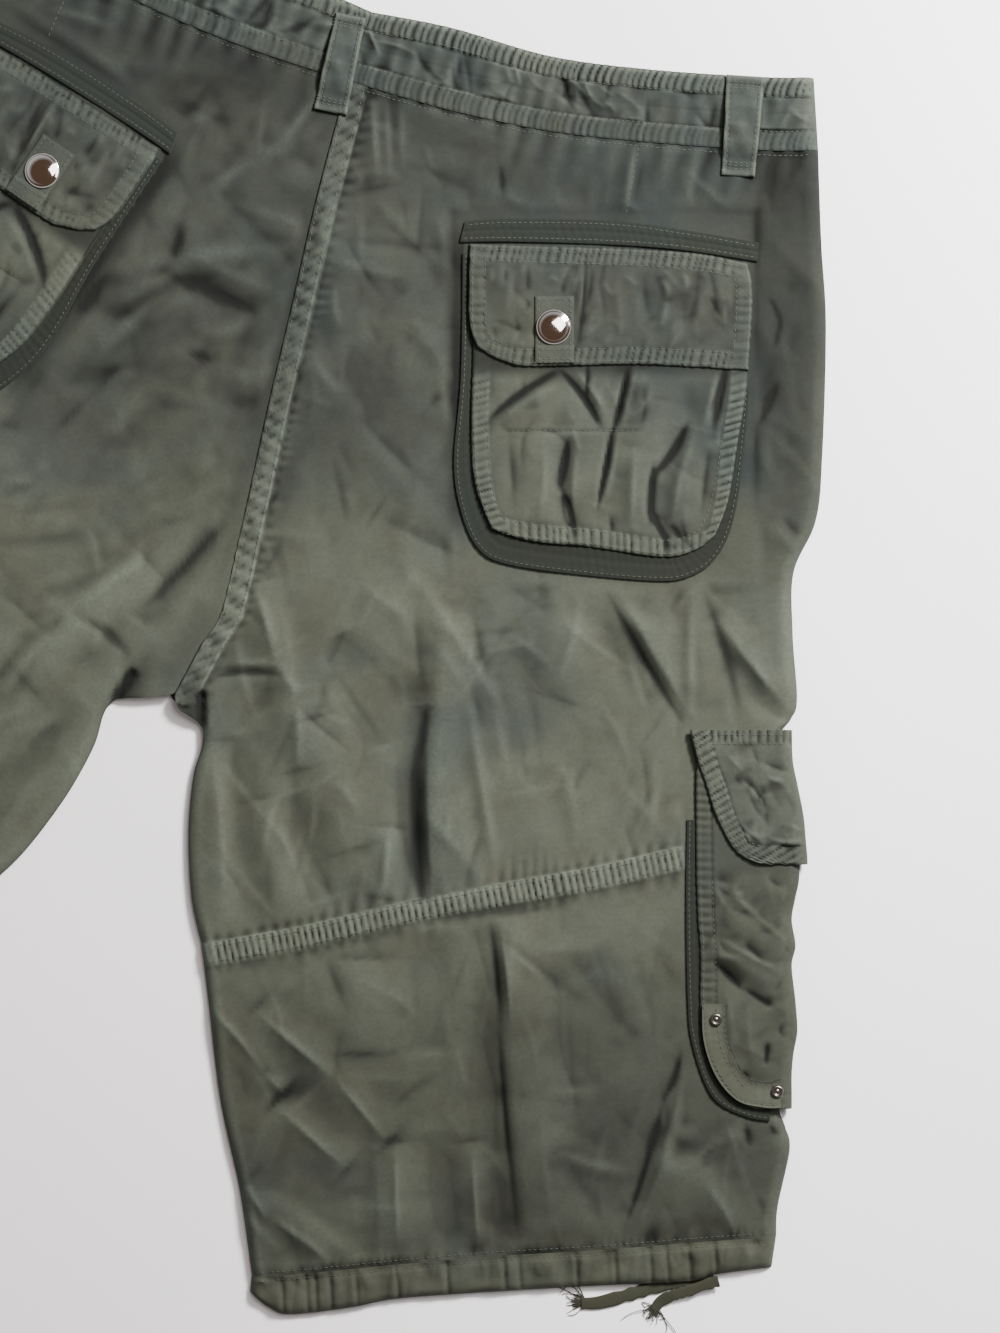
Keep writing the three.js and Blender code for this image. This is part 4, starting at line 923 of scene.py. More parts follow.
@dataclass
class Fronts:
    """The front of one half, flat under the back, with its waistband and its hem."""

    side: Side
    leg_share: float = 0.51
    inset: float = 3.4
    pocket_inset: float = 9.5
    hem_shorter: float = 7

    def middle(self) -> Array:
        """Plan points of the front's middle edge."""
        return waist_points(np.stack([0 * SEAT_UP[:, 0] + SEAM_GAP / 2, SEAT_UP[:, 0]], axis=-1))

    def lift(self, u: Array, v: Array) -> Array:
        """How far the front lies above the surface, over its fly and over the side pocket."""
        fly = 1 - np.maximum(smoothstep(u, 0.17, 0.25), smoothstep(v, 0.27, 0.34))
        rise, full, flap_end, body_start, body_end, clear = FRONT_LIFT_ROWS
        aside = smoothstep(u, *FRONT_LIFT_COLUMNS)
        body = aside * smoothstep(v, rise, full) * (1 - smoothstep(v, body_end, clear))
        flap = aside * smoothstep(v, rise, full) * (1 - smoothstep(v, flap_end, body_start))
        return LAYER_LIFT * np.maximum(fly, body + flap)

    def panel(self) -> Shell:
        """The front panel."""
        leg = np.vstack([bench_points(INSEAM_UPPER), bench_points(INSEAM_LOWER[1:])])
        outseam = np.vstack([waist_points(WAIST_SEAM[-1:]), bench_points(OUTSEAM_UPPER[1:]),
                             bench_points(OUTSEAM_LOWER[1:])])
        middle = self.middle()
        patch = Patch(waist_seam(middle[0]), bench_line(HEM_SEAM),
                      inner_edge(middle, leg, self.leg_share), line(outseam))
        v = np.linspace(0, 1, 121)[:, None]
        width = np.linalg.norm(patch.place(0 * v, v) - patch.place(0 * v + 1, v), axis=-1)
        u = np.linspace(0, 1, 61)[None, :]
        beside = smoothstep(v, 0.42, 0.47) * (1 - smoothstep(v, 0.97, 1))
        start = self.inset * smoothstep(v, 0.5, 0.56) / width
        end = 1 - (self.inset + (self.pocket_inset - self.inset) * beside) / width
        place = patch.place(start + (end - start) * u, np.clip(v, 0.0004, 0.9996) + 0 * u)
        lift = self.lift(u, v)
        outer, inner = np.dstack([place, lift + FRONT_WALL]), np.dstack([place, lift])
        return Shell(f"front_cloth_{self.side.word}", outer, inner, side=self.side)

    def waistband(self) -> Shell:
        """The front of the waistband."""
        seam = waist_seam(self.middle()[0])
        edge = line(waist_points(WAIST_EDGE) + np.array([SEAM_GAP / 2, 0]))
        start, end = np.array(0.0), np.array(1.0)
        patch = Patch(edge, seam, straight(edge(start), seam(start)), straight(edge(end), seam(end)))
        v, u = np.linspace(0, 0.985, 9)[:, None], np.linspace(0, 1 - (WAIST_WALL + 1.4) / 250, 61)[None, :]
        place = patch.place(u, v + 0 * u)
        lift = LAYER_LIFT * (1 - smoothstep(place[..., 0], 12, 24))
        return Shell(f"waistband_front_cloth_{self.side.word}", np.dstack([place, lift + FRONT_WAIST_WALL]),
                     np.dstack([place, lift]), side=self.side)

    def hem(self) -> Shell:
        """The front of the hem."""
        seam = bench_points(HEM_SEAM)
        edge = bench_points(HEM_EDGE - np.array([0, self.hem_shorter]))
        patch = Patch(line(seam), line(edge), straight(seam[0], edge[0]), straight(seam[-1], edge[-1]))
        margin = (HEM_WALL + 2.6) / 285
        v, u = np.linspace(0.01, 1, 7)[:, None], np.linspace(margin, 1 - margin, 61)[None, :]
        place = patch.place(u, v + 0 * u)
        flat = 0 * place[..., 0]
        return Shell(f"hem_front_cloth_{self.side.word}", np.dstack([place, flat + HEM_WALL]),
                     np.dstack([place, flat]), side=self.side)


# Back pocket: outlines on the bench

TOP_TAPE_UPPER = table((164.7, -261), (189, -262.4), (243, -261.4), (282, -256.5), (323.5, -249.5))
TOP_TAPE_LOWER = table((162, -249.8), (189, -250.2), (243, -248.6), (282, -245.6), (322.5, -239.4))
POCKET_GUSSET = table(
    (163.5, -244, 10), (162.5, -178, 12), (158.8, -132, 15), (162.5, -105, 17), (171.7, -84.8, 18),
    (188, -76, 18), (230.6, -70, 18), (270, -67, 17), (286, -69.5, 17), (299, -78, 16), (308, -94.5, 13),
    (314, -124, 10), (318.5, -170, 8))
BODY_EDGES = {
    "top": table((169, -236), (243, -233), (316.4, -225)),
    "bottom": table((179, -95), (199.8, -88.6), (235, -85), (271.6, -80), (290, -84), (299.7, -91.8)),
    "left": table((169, -236), (169, -190), (168, -152), (170, -120), (179, -95)),
    "right": table((316.4, -225), (317.5, -180), (312, -143), (306.7, -110.7), (299.7, -91.8)),
}
FLAP_EDGES = {
    "top": table((167.4, -249), (221.4, -247.3), (259, -246), (291.6, -243.5), (317.5, -238.4)),
    "bottom": table((171.5, -193), (178, -188.5), (186, -185), (200, -182.5), (251.6, -183.4), (282, -182.5),
                    (317.5, -180.4)),
    "left": table((167.4, -249), (166.9, -208), (171.5, -193)),
    "right": table((317.5, -238.4), (319.7, -218.7), (317.5, -180.4)),
}
BODY_FOLDS = table(
    (253, -178, 236, -108, 0, -1.6, 8, 8), (283, -150, 272, -84, -4, -2.2, 9, 9),
    (220, -145, 222, -90, -4, -2, 8, 9), (268, -165, 256, -92, 0, 1.6, 11, 12),
    (200, -160, 202, -98, 0, 1.4, 12, 12))
BODY_CREASES = table(
    (253, -184, 244, -146, 0, -2.2, 0.8, 2.2), (244, -150, 236, -107, 0, -2, 0.8, 2.2),
    (257, -184, 248, -146, 0, 1.1, 1.6, 4), (248, -150, 240, -108, 0, 1, 1.6, 4),
    (176, -153, 216, -180, 2, -1.6, 3.5, 3), (178, -149, 216, -173, 2, 1.2, 4, 4),
    (216, -180, 238, -148, 2, -1.5, 2.5, 3.5), (222, -182, 242, -152, 2, 1.1, 3, 4),
    (231, -182, 230, -164, 0, -1, 2, 2.5), (306, -181, 298, -147, 0, -2, 3, 3),
    (301, -181, 294, -150, 0, 1.2, 3, 4), (284, -152, 265, -124, 2, -1.7, 2, 4),
    (267, -133, 264, -98, -1, -1.7, 2, 4), (264, -106, 275, -80, 2, -1.5, 2, 4),
    (290, -150, 276, -96, -2, 1.6, 4, 7), (256, -140, 254, -92, 0, 1.3, 4, 5),
    (220, -144, 215, -115, 0, -1.8, 3, 4), (215, -118, 223, -86, 2, -1.8, 3, 4),
    (226, -142, 224, -94, -2, 1.2, 3, 5), (207, -146, 204, -94, 2, 1, 4, 6),
    (275, -98, 284, -86, 0, -1.5, 2, 2), (188, -148, 191, -104, 1, -0.8, 4, 5),
    (243, -104, 245, -86, 0, -0.8, 2, 3), (297, -142, 292, -100, 0, -0.9, 3, 4))
BODY_SHADOWS = table(
    (253.5, -187, 244, -145, 0, 0.75, 0.9, 1.1), (245, -150, 236, -104, 0, 0.95, 0.8, 1.2),
    (286, -154, 265, -122, 2, 0.8, 1.3, 2.2), (266.5, -128, 265, -96, -1, 1, 1.2, 3),
    (264, -102, 275, -80, 2, 0.9, 1.2, 2.4),
    (221, -146, 217, -118, 0, 0.55, 1.2, 2), (216, -120, 224, -84, 2, 0.75, 1, 1.8),
    (174, -150, 217, -182, 2, 0.65, 4.5, 1.2), (216, -181, 240, -148, 2, 0.8, 2.2, 1.3),
    (231, -185, 230, -163, 0, 0.5, 1, 1.4), (306, -183, 297, -158, 0, 0.8, 1.4, 2),
    (247, -184, 262, -150, 0, 0.4, 5, 5), (285, -175, 290, -150, 0, 0.3, 4, 5),
    (281, -100, 286, -84, 0, 0.6, 1.2, 1.6))
FLAP_SHADOWS = table(
    (230, -244, 225, -190, 1, 0.7, 0.9, 1.8), (268, -232, 272, -216, 1, 0.35, 1.5, 2),
    (291, -242, 285, -205, 2, 0.3, 1.5, 3), (296, -236, 300, -212, 1, 0.4, 1, 2),
    (240, -240, 238, -226, 0, 0.35, 1, 1.6))
FLAP_CREASES = table(
    (228.4, -238, 225, -207, 1, 0.9, 2.4, 3.5), (233, -238, 230, -212, 1, -0.7, 2.5, 3),
    (198, -239, 199, -222, 0, -0.7, 2, 3), (189, -236, 186, -206, 1, 0.6, 4, 5),
    (270, -230, 274, -218, 1, 0.9, 2.5, 4), (274, -219, 270, -202, 0, 0.9, 2.5, 4),
    (262, -236, 266, -204, -2, -0.7, 4, 5), (292, -232, 288, -200, 1, 0.8, 4, 6),
    (246, -228, 250, -198, 0, 0.6, 4, 5))
TAB_BOX = (202.5, 223.5, -220.3, -184)
SNAP_CAP = (212.5, -203.3, 9.4, 2.8)


def pocket_face(across: Array, down: Array) -> Array:
    """Height of the back pocket's face where it has no folds."""
    u, v = np.clip((across - 168) / 149, 0, 1), np.clip((down + 236) / 150, 0, 1)
    return BODY_TOP + 2.6 * np.sin(np.pi * u) ** 0.7 * np.sin(np.pi * v) ** 0.7


def edges_patch(edges: dict) -> Patch:
    """A patch from four bench tables."""
    return Patch(**{name: bench_line(rows) for name, rows in edges.items()})


def edge_distances(place: Array) -> tuple[Array, Array, Array, Array]:
    """Distances in from the left, right, top and bottom edges of a grid of places."""
    wide, tall = (np.linalg.norm(np.diff(place, axis=axis), axis=-1) for axis in (1, 0))
    along = np.concatenate([0 * place[:, :1, 0], np.cumsum(wide, axis=1)], axis=1)
    below = np.concatenate([0 * place[:1, :, 0], np.cumsum(tall, axis=0)], axis=0)
    return along, along[:, -1:] - along, below, below[-1:] - below


def turned_edge(distance: Array, rise: float, radius: float) -> Array:
    """The fall of a cloth's face towards a folded edge."""
    return -rise * (1 - np.sqrt(np.clip(1 - (1 - np.clip(distance / radius, 0, 1)) ** 2, 0, 1)))


@dataclass
class Ribbon:
    """A flat strip, given by its outer edge and its width towards the inside of the curve."""

    rows: Array
    cell: float = 1.2

    def grid(self, parts: Array) -> Array:
        """Bench places of the strip at shares of its width, along its length."""
        fine = smooth_points(self.rows)
        reach = np.concatenate([[0], np.cumsum(np.linalg.norm(np.diff(fine[:, :2], axis=0), axis=1))])
        count = max(12, int(reach[-1] / self.cell))
        at = np.linspace(0, reach[-1], count + 1)
        edge = np.stack([np.interp(at, reach, fine[:, k]) for k in range(3)], axis=-1)
        heading = np.gradient(edge[:, :2], axis=0)
        heading /= np.linalg.norm(heading, axis=1)[:, None]
        aside = np.stack([heading[:, 1], -heading[:, 0]], axis=-1)
        return edge[:, None, :2] + aside[:, None, :] * (parts[None, :, None] * edge[:, 2][:, None, None])

    def shell(self, name: str, side: Side, foot: Callable[[Array, Array], Array], thickness: float,
              relief: Callable[[Array, Array], Array]) -> Shell:
        """The strip's wall.

        Args:
            name: the object's name.
            side: which half it is on.
            foot: height of what it lies on, from across and down.
            thickness: of its cloth.
            relief: its raised lines, from distances along it and shares across it.
        """
        parts = np.linspace(0, 1, 17)
        bench = self.grid(parts)
        along = self.cell * np.arange(len(bench))[:, None]
        low = foot(bench[..., 0], bench[..., 1])
        place = from_bench(bench[..., 0], bench[..., 1])
        outer = np.dstack([place, low + thickness + relief(along, parts[None, :])])
        inner = np.dstack([place, low])[every(len(bench), 2)][:, ::4]
        # Painted shadow along the strip's inner side, beside what it borders.
        return Shell(name, outer, inner, side=side, shade=0.6 * smoothstep(parts, 0.6, 1) + 0 * along)


@dataclass
class BackPocket:
    """The bellows pocket on the seat, with its border tape, its flap and its snap tab."""

    side: Side
    cell: float
    band: float = 9.0

    def tape_relief(self, along: Array, share: Array) -> Array:
        """A groove along the middle of the tape and a rim at its outer edge."""
        groove = -0.4 * bump(share - 0.52, 0.07)
        rim = 0.35 * bump(share - 0.1, 0.08)
        return groove + rim + 0.12 * puckers(along + 4 * share, 4.5, 61)

    def grid(self, patch: Patch) -> Array:
        """Places of a fine grid over a patch."""
        wide = np.linalg.norm(patch.place(0, 0.5) - patch.place(1, 0.5))
        tall = np.linalg.norm(patch.place(0.5, 0) - patch.place(0.5, 1))
        columns, rows = 4 * round(wide / self.cell / 4), 4 * round(tall / self.cell / 4)
        return patch.place(np.linspace(0, 1, columns + 1)[None, :], np.linspace(0, 1, rows + 1)[:, None])

    def body(self) -> Shell:
        """The pocket's bag below its flap, with its pleat."""
        place = self.grid(edges_patch(BODY_EDGES))
        across, down = to_bench(place)
        left, right, top, bottom = edge_distances(place)
        below_flap = smoothstep(down, -188, -168)
        folds = fold_height(BODY_FOLDS, across, down) * smoothstep(down, -176, -160)
        height = pocket_face(across, down) + folds
        inside = smoothstep(np.minimum(np.minimum(left, right), bottom), self.band - 1, self.band + 5)
        creases = fold_height(BODY_CREASES, across, down, True) * smoothstep(down, -186, -178)
        crumple = fold_height(scattered(71, (176, -184, 312, -88), 60, 5, 34, 0.9), across, down, True) \
            + 0.5 * waves(across, down, 15, 72)
        height += (0.25 + 0.75 * inside) * (1.5 * np.where(creases < -2, 0.4 * creases - 1.2, creases)
                                           + crumple * below_flap)
        sides = 1 - smoothstep(np.minimum(left, right), self.band, self.band + 1.2)
        foot = (1 - smoothstep(bottom, self.band, self.band + 1.2)) * (1 - sides)
        rumple = 0.5 * waves(across, down, 6, 75)
        rib = sides * ribs(down + 0.3 * across, 4.3, 73, 0.7) + foot * ribs(across, 4.4, 74, 0.7)
        height += below_flap * ((sides + foot) * (0.35 + 0.6 * rumple) + 0.8 * rib)
        height -= 0.35 * bump(down + 148, 0.8) * smoothstep(across, 186, 190) \
            * (1 - smoothstep(across, 256, 262))
        height += turned_edge(np.minimum(np.minimum(left, right), bottom), 0.8, 2)
        outer = np.dstack([place, np.maximum(height, ON_CLOTH + POCKET_WALL)])
        worn = (sides + foot) * 0.14 * below_flap
        # A darker tone, with painted shadow under the flap's edge and painted shade in the creases.
        shade = 0.22 + 0.6 * (1 - smoothstep(down, -184, -174)) + np.clip(-0.12 * creases, 0, 0.3)
        shade = shade + fold_height(BODY_SHADOWS, across, down)
        name = f"pocket_body_cloth_{self.side.word}"
        return Shell(name, outer, inner_of(outer, POCKET_WALL), worn, self.side, shade)

    def flap_height(self, across: Array, down: Array, v: Array) -> Array:
        """Height of the flap's face with no relief."""
        hinge = 2.3 * (1 - smoothstep(v, 0, 0.16))
        return pocket_face(across, down) + SEAM_GAP + POCKET_WALL - hinge

    def flap(self) -> Shell:
        """The flap, with its two stitched rows round the edge."""
        place = self.grid(edges_patch(FLAP_EDGES))
        across, down = to_bench(place)
        left, right, top, bottom = edge_distances(place)
        v = np.linspace(0, 1, len(place))[:, None]
        near = np.minimum(np.minimum(left, right), np.minimum(top, bottom))
        sides = 1 - smoothstep(np.minimum(left, right), self.band, self.band + 1)
        rows = (1 - smoothstep(np.minimum(top, bottom), self.band, self.band + 1)) * (1 - sides)
        rib = sides * ribs(down, 4.6, 75) + rows * ribs(across + 0.25 * down, 4.0, 76, 0.6)
        height = self.flap_height(across, down, v) + (sides + rows) * (0.3 + 0.3 * waves(across, down, 6, 79))
        height += (0.4 * sides + 0.8 * rows) * rib - 0.3 * bump(near - self.band + 0.4, 0.7)
        inside = smoothstep(near, self.band - 1, self.band + 4)
        small = scattered(77, (174, -244, 314, -192), 90, 5, 26, 0.7, 3.4)
        crumple = fold_height(small, across, down, True) + 0.5 * waves(across, down, 14, 78)
        under_tab = smoothstep(np.abs(across - 213), 10, 14) + smoothstep(np.abs(down + 202), 18, 22)
        height += (0.2 + 0.8 * inside) * np.clip(under_tab, 0, 1) \
            * (1.5 * fold_height(FLAP_CREASES, across, down, True) + crumple)
        height += turned_edge(near, 0.9, 1.8)
        outer = np.dstack([place, height])
        worn = (sides + rows) * 0.06 + 0.4 * bump(near, 1.3)
        # A darker tone, with painted shade in the creases.
        shade = 0.4 + fold_height(FLAP_SHADOWS, across, down)
        name = f"pocket_flap_cloth_{self.side.word}"
        return Shell(name, outer, inner_of(outer, POCKET_WALL), worn, self.side, shade)

    def tab(self) -> Shell:
        """The tab that carries the snap."""
        a0, a1, d0, d1 = TAB_BOX
        across, down = np.meshgrid(np.linspace(a0, a1, 25), np.linspace(d0, d1, 41))
        place = from_bench(across, down)
        left, right, top, bottom = edge_distances(place)
        near = np.minimum(np.minimum(left, right), np.minimum(top, bottom))
        base = pocket_face(across, down) + 2 * SEAM_GAP + POCKET_WALL + 0.35 * (bottom < 9.4)
        stitched = -0.25 * bump(near - 2.2, 0.5)
        height = base + TAPE_WALL + stitched + turned_edge(near, 0.5, 1.4)
        height += 0.3 * (noise(across, down, 5, 79) - 0.5)
        outer, inner = np.dstack([place, height]), np.dstack([place, base])[::4, ::4]
        return Shell(f"pocket_snap_tab_cloth_{self.side.word}", outer, inner, side=self.side, shade=0.3)

    def top_tape(self) -> Shell:
        """The tape across the pocket's top."""
        upper, lower = bench_points(TOP_TAPE_UPPER), bench_points(TOP_TAPE_LOWER)
        patch = Patch(line(upper), line(lower), straight(upper[0], lower[0]), straight(upper[-1], lower[-1]))
        v, u = np.linspace(0, 1, 17)[:, None], np.linspace(0, 1, 141)[None, :]
        place = patch.place(u, v + 0 * u)
        across, _ = to_bench(place)
        height = ON_CLOTH + TAPE_WALL + 0.3 * np.sin(np.pi * v) + self.tape_relief(across, 1 - v)
        inner = np.dstack([place, 0 * across + ON_CLOTH])[::4, ::4]
        name = f"pocket_top_tape_{self.side.word}_woven"
        return Shell(name, np.dstack([place, height]), inner, side=self.side)

    def gusset(self) -> Shell:
        """The border tape round the pocket."""
        flat = lambda across, down: 0 * across + ON_CLOTH
        name = f"pocket_gusset_{self.side.word}_woven"
        return Ribbon(POCKET_GUSSET).shell(name, self.side, flat, TAPE_WALL, self.tape_relief)


# Side pocket: sections down the leg, with its edge on the back, its edge below the front, the
# silhouette that it makes and the height of its foot
SIDE_TURN = 7.0
SIDE_BODY = table(
    (24, 290, 252, 339.6, 1.5), (44, 289.4, 250, 342, 1.5), (66, 289.4, 250, 345, 1.5),
    (92, 289.6, 250, 345.5, 1.5), (104, 290, 250, 343.5, 0), (116, 290.4, 250, 341.5, 0),
    (130, 291.4, 250, 343.5, 0), (141, 291.6, 250, 341.5, 0), (160, 291.6, 250, 343.5, 0),
    (176, 292.6, 250, 344.5, 0), (188, 295, 253, 342.5, 0), (199, 300, 259, 341.5, 0),
    (209, 307, 267, 341.5, 0), (215, 314, 277, 341.5, 0), (218, 322, 288, 341.5, 0))
SIDE_FLAP = table(
    (13.5, 286, 246, 341.5, 0), (30, 290, 247, 342, 0), (43, 294.5, 248, 344.5, 0),
    (60, 300, 251, 347.8, 0), (75, 307.8, 258, 349.2, 0), (82, 314.5, 268, 349.8, 0),
    (86, 326, 288, 350, 0))
SIDE_GUSSET = table(
    (284.5, 62, 10), (284, 107, 10), (285, 161, 11), (287, 181, 12), (294, 203.6, 14), (302.4, 215.5, 14),
    (317.5, 222.5, 14), (329, 224.5, 14))
CORNER_STRAP = table(
    (292.6, 161.5, 13.5), (293.4, 181, 13.5), (300, 200, 13.5), (311.5, 213, 13.5), (326, 216.8, 14),
    (335, 217, 16))
SIDE_BODY_FOLDS = table(
    (300, 108, 336, 134, 0, 2.2, 7, 8), (296, 128, 334, 150, 0, 2.4, 7, 8), (300, 138, 328, 164, 0, -1, 6, 6))
SIDE_BODY_CREASES = table(
    (299.7, 94.5, 340, 129.6, 0, 1.4, 2.5, 4), (298, 124, 337.5, 146, 0, 1.5, 2.2, 4),
    (295.4, 135, 316, 155, 0, -1.6, 2, 3), (314, 152, 332, 164, 0, -1.4, 2, 3),
    (328, 181, 327, 195, 0, -2, 2.5, 2.5), (313, 197, 318, 203, 0, -1.5, 2, 2),
    (304, 150, 308, 190, 2, 1.2, 4, 5), (318, 160, 322, 200, -2, 1.2, 5, 5),
    (306, 96, 303, 124, 0, -0.8, 4, 5), (326, 90, 332, 112, 0, 0.8, 5, 5),
    (300, 108, 338, 122, 2, -0.9, 4, 4))
SIDE_FLAP_CREASES = table(
    (304, 22, 312, 44, 1, 0.7, 3, 5), (322, 20, 330, 66, 0, 0.7, 5, 6), (314, 44, 334, 60, 0, -0.6, 3, 4))
SIDE_SNAPS = {"upper": (300, 169.3), "lower": (333, 208)}


@dataclass
class Wrap:
    """Cloth that runs over the back, round the outseam and in below the front."""

    sections: Array
    top: float
    cell: float

    def columns(self, wall: float, over: int, turns: int, below: int) -> Array:
        """Bench places and heights of the wrapped cloth, without its relief.

        Args:
            wall: how far inside the outer face.
            over: faces on the back.
            turns: faces round the outseam.
            below: faces below the front.

        Returns:
            rows down the leg of columns of across, down and height.
        """
        downs = self.sections[:, 0]
        count = 4 * round((downs[-1] - downs[0]) / self.cell / 4)
        fine = smooth_points(self.sections)
        down = np.linspace(downs[0], downs[-1], count + 1)
        edge, under, silhouette, foot = (
            np.interp(down, fine[:, 0], fine[:, k])[:, None] for k in range(1, 5))
        foot = foot + wall
        middle = (self.top - wall - foot) / 2
        turn = silhouette - SIDE_TURN
        reach = SIDE_TURN - wall
        share = np.linspace(0, 1, over, endpoint=False)[None, :]
        angle = np.pi * (0.5 - np.linspace(0, 1, turns + 1)[None, :])
        inward = np.linspace(0, 1, below + 1)[None, 1:]
        across = np.hstack([edge + (turn - edge) * share, turn + reach * np.cos(angle),
                            turn + (under - turn) * inward])
        height = np.hstack([self.top - wall + 0 * (edge + share), foot + middle + middle * np.sin(angle),
                            foot + 0 * inward])
        return np.dstack([across, np.broadcast_to(down[:, None], across.shape), height])

    def shell(self, name: str, side: Side, relief: Callable[[Array, Array, Array], Array],
              worn: Optional[Callable[[Array, Array], Array]] = None, shade: float = 0.33) -> Shell:
        """The wrapped wall, with its relief on the part that shows.

        Args:
            name: the object's name.
            side: which half it is on.
            relief: raised lines, from across, down and the distance in from the free edge.
            worn: how rubbed it is, from across and down.
            shade: how much darker it is painted.
        """
        over, turns, below = 56, 24, 8
        outer = self.columns(0, over, turns, below)
        inner = self.columns(POCKET_WALL, over // 4, turns // 4, below // 4)[::4]
        across, down = outer[..., 0], outer[..., 1]
        free = across - across[:, :1]
        bottom = self.sections[-1, 0] - down
        near = np.minimum(free, bottom)
        half = turns // 2
        shown = np.concatenate([np.ones(over), np.linspace(1, 0, half), np.zeros(half + 1 + below)])
        rise = relief(across, down, near) * shown[None, :]
        outer[..., 2] += rise
        low = lowest_near(rise, 4)[::4]
        picked = np.hstack([low[:, :over:4], low[:, over:over + turns:4], low[:, over + turns::4]])
        inner[..., 2] += np.minimum(picked, 0)
        place = lambda grid: np.dstack([from_bench(grid[..., 0], grid[..., 1]), grid[..., 2]])
        rubbed = None if worn is None else worn(across, down)
        return Shell(name, place(outer), place(inner), rubbed, side, shade)


@dataclass
class SidePocket:
    """The pocket that wraps round the outseam, with its flap, border tape and corner strap."""

    side: Side
    cell: float
    band: float = 8.5

    def body_relief(self, across: Array, down: Array, near: Array) -> Array:
        """Folds and the stitched edge of the bag."""
        inside = smoothstep(near, 3, 12)
        below_flap = smoothstep(down, 84, 94)
        height = fold_height(SIDE_BODY_FOLDS, across, down)
        small = fold_height(scattered(81, (292, 90, 338, 212), 44, 45, 28, 1.0), across, down, True)
        small += fold_height(SIDE_BODY_CREASES, across, down, True)
        height += inside * below_flap * (small + 0.5 * waves(across, down, 12, 82))
        height -= 0.35 * bump(near - self.band, 0.8)
        return height + 0.25 * puckers(down, 5, 83) * (1 - inside) + turned_edge(near, 0.8, 1.8)

    def flap_relief(self, across: Array, down: Array, near: Array) -> Array:
        """The flap's stitched rows and soft creases."""
        rows = 1 - smoothstep(near, 10, 11.2)
        top = (1 - smoothstep(down - SIDE_FLAP[0, 0], 6, 8)) * (1 - rows)
        rumple = 0.5 * waves(across, down, 6, 88)
        small = scattered(89, (306, 18, 348, 74), 40, 40, 24, 1.3, 4)
        creases = fold_height(np.vstack([SIDE_FLAP_CREASES, small]), across, down, True)
        creases += 0.8 * waves(across, down, 14, 85)
        height = rows * (0.4 + rumple + 0.9 * ribs(down + 0.6 * across, 4.4, 84, 0.7))
        height += top * (0.4 + rumple + 0.9 * ribs(across, 4.2, 86, 0.7)) - 0.3 * bump(near - 10.4, 0.7)
        return height + (1 - rows) * (1 - top) * creases + turned_edge(near, 0.9, 1.8)

    def on_body(self, across: Array, down: Array) -> Array:
        """Height of what lies on the bag, falling where the bag turns round the outseam."""
        return BODY_TOP + SEAM_GAP - 1.2 * smoothstep(across, 334, 342) + 0 * down

    def shells(self) -> dict[str, Shell]:
        """Works out the four pieces by their nodes' names."""
        word = self.side.word
        tape = BackPocket(self.side, self.cell).tape_relief
        flat = lambda across, down: 0 * across + ON_CLOTH
        strap = lambda along, share: -0.3 * bump(share - 0.1, 0.04) \
            - 0.3 * bump(share - 0.9, 0.04) + 0.12 * puckers(along, 5, 87)
        edge = lambda across, down: 0.12 + 0.2 * bump(across - 299, 8)
        bag, flap = Wrap(SIDE_BODY, BODY_TOP, self.cell), Wrap(SIDE_FLAP, FLAP_TOP, self.cell)
        return {
            "side_gusset": Ribbon(SIDE_GUSSET).shell(
                f"side_gusset_{word}_woven", self.side, flat, TAPE_WALL, tape),
            "side_pocket": bag.shell(f"side_pocket_cloth_{word}", self.side, self.body_relief, shade=0.42),
            "side_flap": flap.shell(f"side_flap_cloth_{word}", self.side, self.flap_relief, edge),
            "side_corner_strap": Ribbon(CORNER_STRAP).shell(
                f"side_corner_strap_cloth_{word}", self.side, self.on_body, TAPE_WALL, strap),
        }


@dataclass
class BeltLoop:
    """A strap arched over the waistband, from its upper to its lower bar tack."""

    head: tuple[float, float]
    foot: tuple[float, float]
    width: float
    width_end: float
    seam: float
    wall: float = 1.5

    def shell(self, name: str, side: Side) -> Shell:
        """Works out the strap."""
        heights = table((0, 0.3), (0.12, 0.5), (0.3, 2.2), (0.5, 2.7), (0.66, 2), (0.82, 0.5), (1, 0.3))
        head, foot = waist_points(np.array([self.head])), waist_points(np.array([self.foot]))
        run = (foot - head)[0]
        across = np.array([-run[1], run[0]]) / np.linalg.norm(run)
        along, aside = np.linspace(0, 1, 61)[:, None], np.linspace(-0.5, 0.5, 25)[None, :]
        width = self.width + (self.width_end - self.width) * along
        base = WAIST_TOP + 0.8 + (BACK_TOP + self.seam - WAIST_TOP - 0.8) * smoothstep(along, 0.64, 0.9)
        place = head + run * along[..., None] + across * (aside * width)[..., None]
        low = base + np.interp(along, heights[:, 0], heights[:, 1]) + 0 * aside
        length = float(np.linalg.norm(run))
        near = np.minimum((0.5 - np.abs(aside)) * width, np.minimum(along, 1 - along) * length)
        rows = -0.3 * bump((0.5 - np.abs(aside)) * width - 2.6, 0.5)
        tacks = -0.35 * bump(np.minimum(along, 1 - along) * length - 4.5, 1.2)
        relief = rows + tacks + turned_edge(near, 0.8, 1.6) \
            + 1.1 * (noise(aside * width + 40, along * length, 6, 91) - 0.5)
        outer = np.dstack([place, low + self.wall + relief])
        inner = np.dstack([place, low])[::4, ::4]
        worn = 0.05 + 0.5 * bump(near, 1.2)
        return Shell(name, outer, inner, worn, side, 0.2)


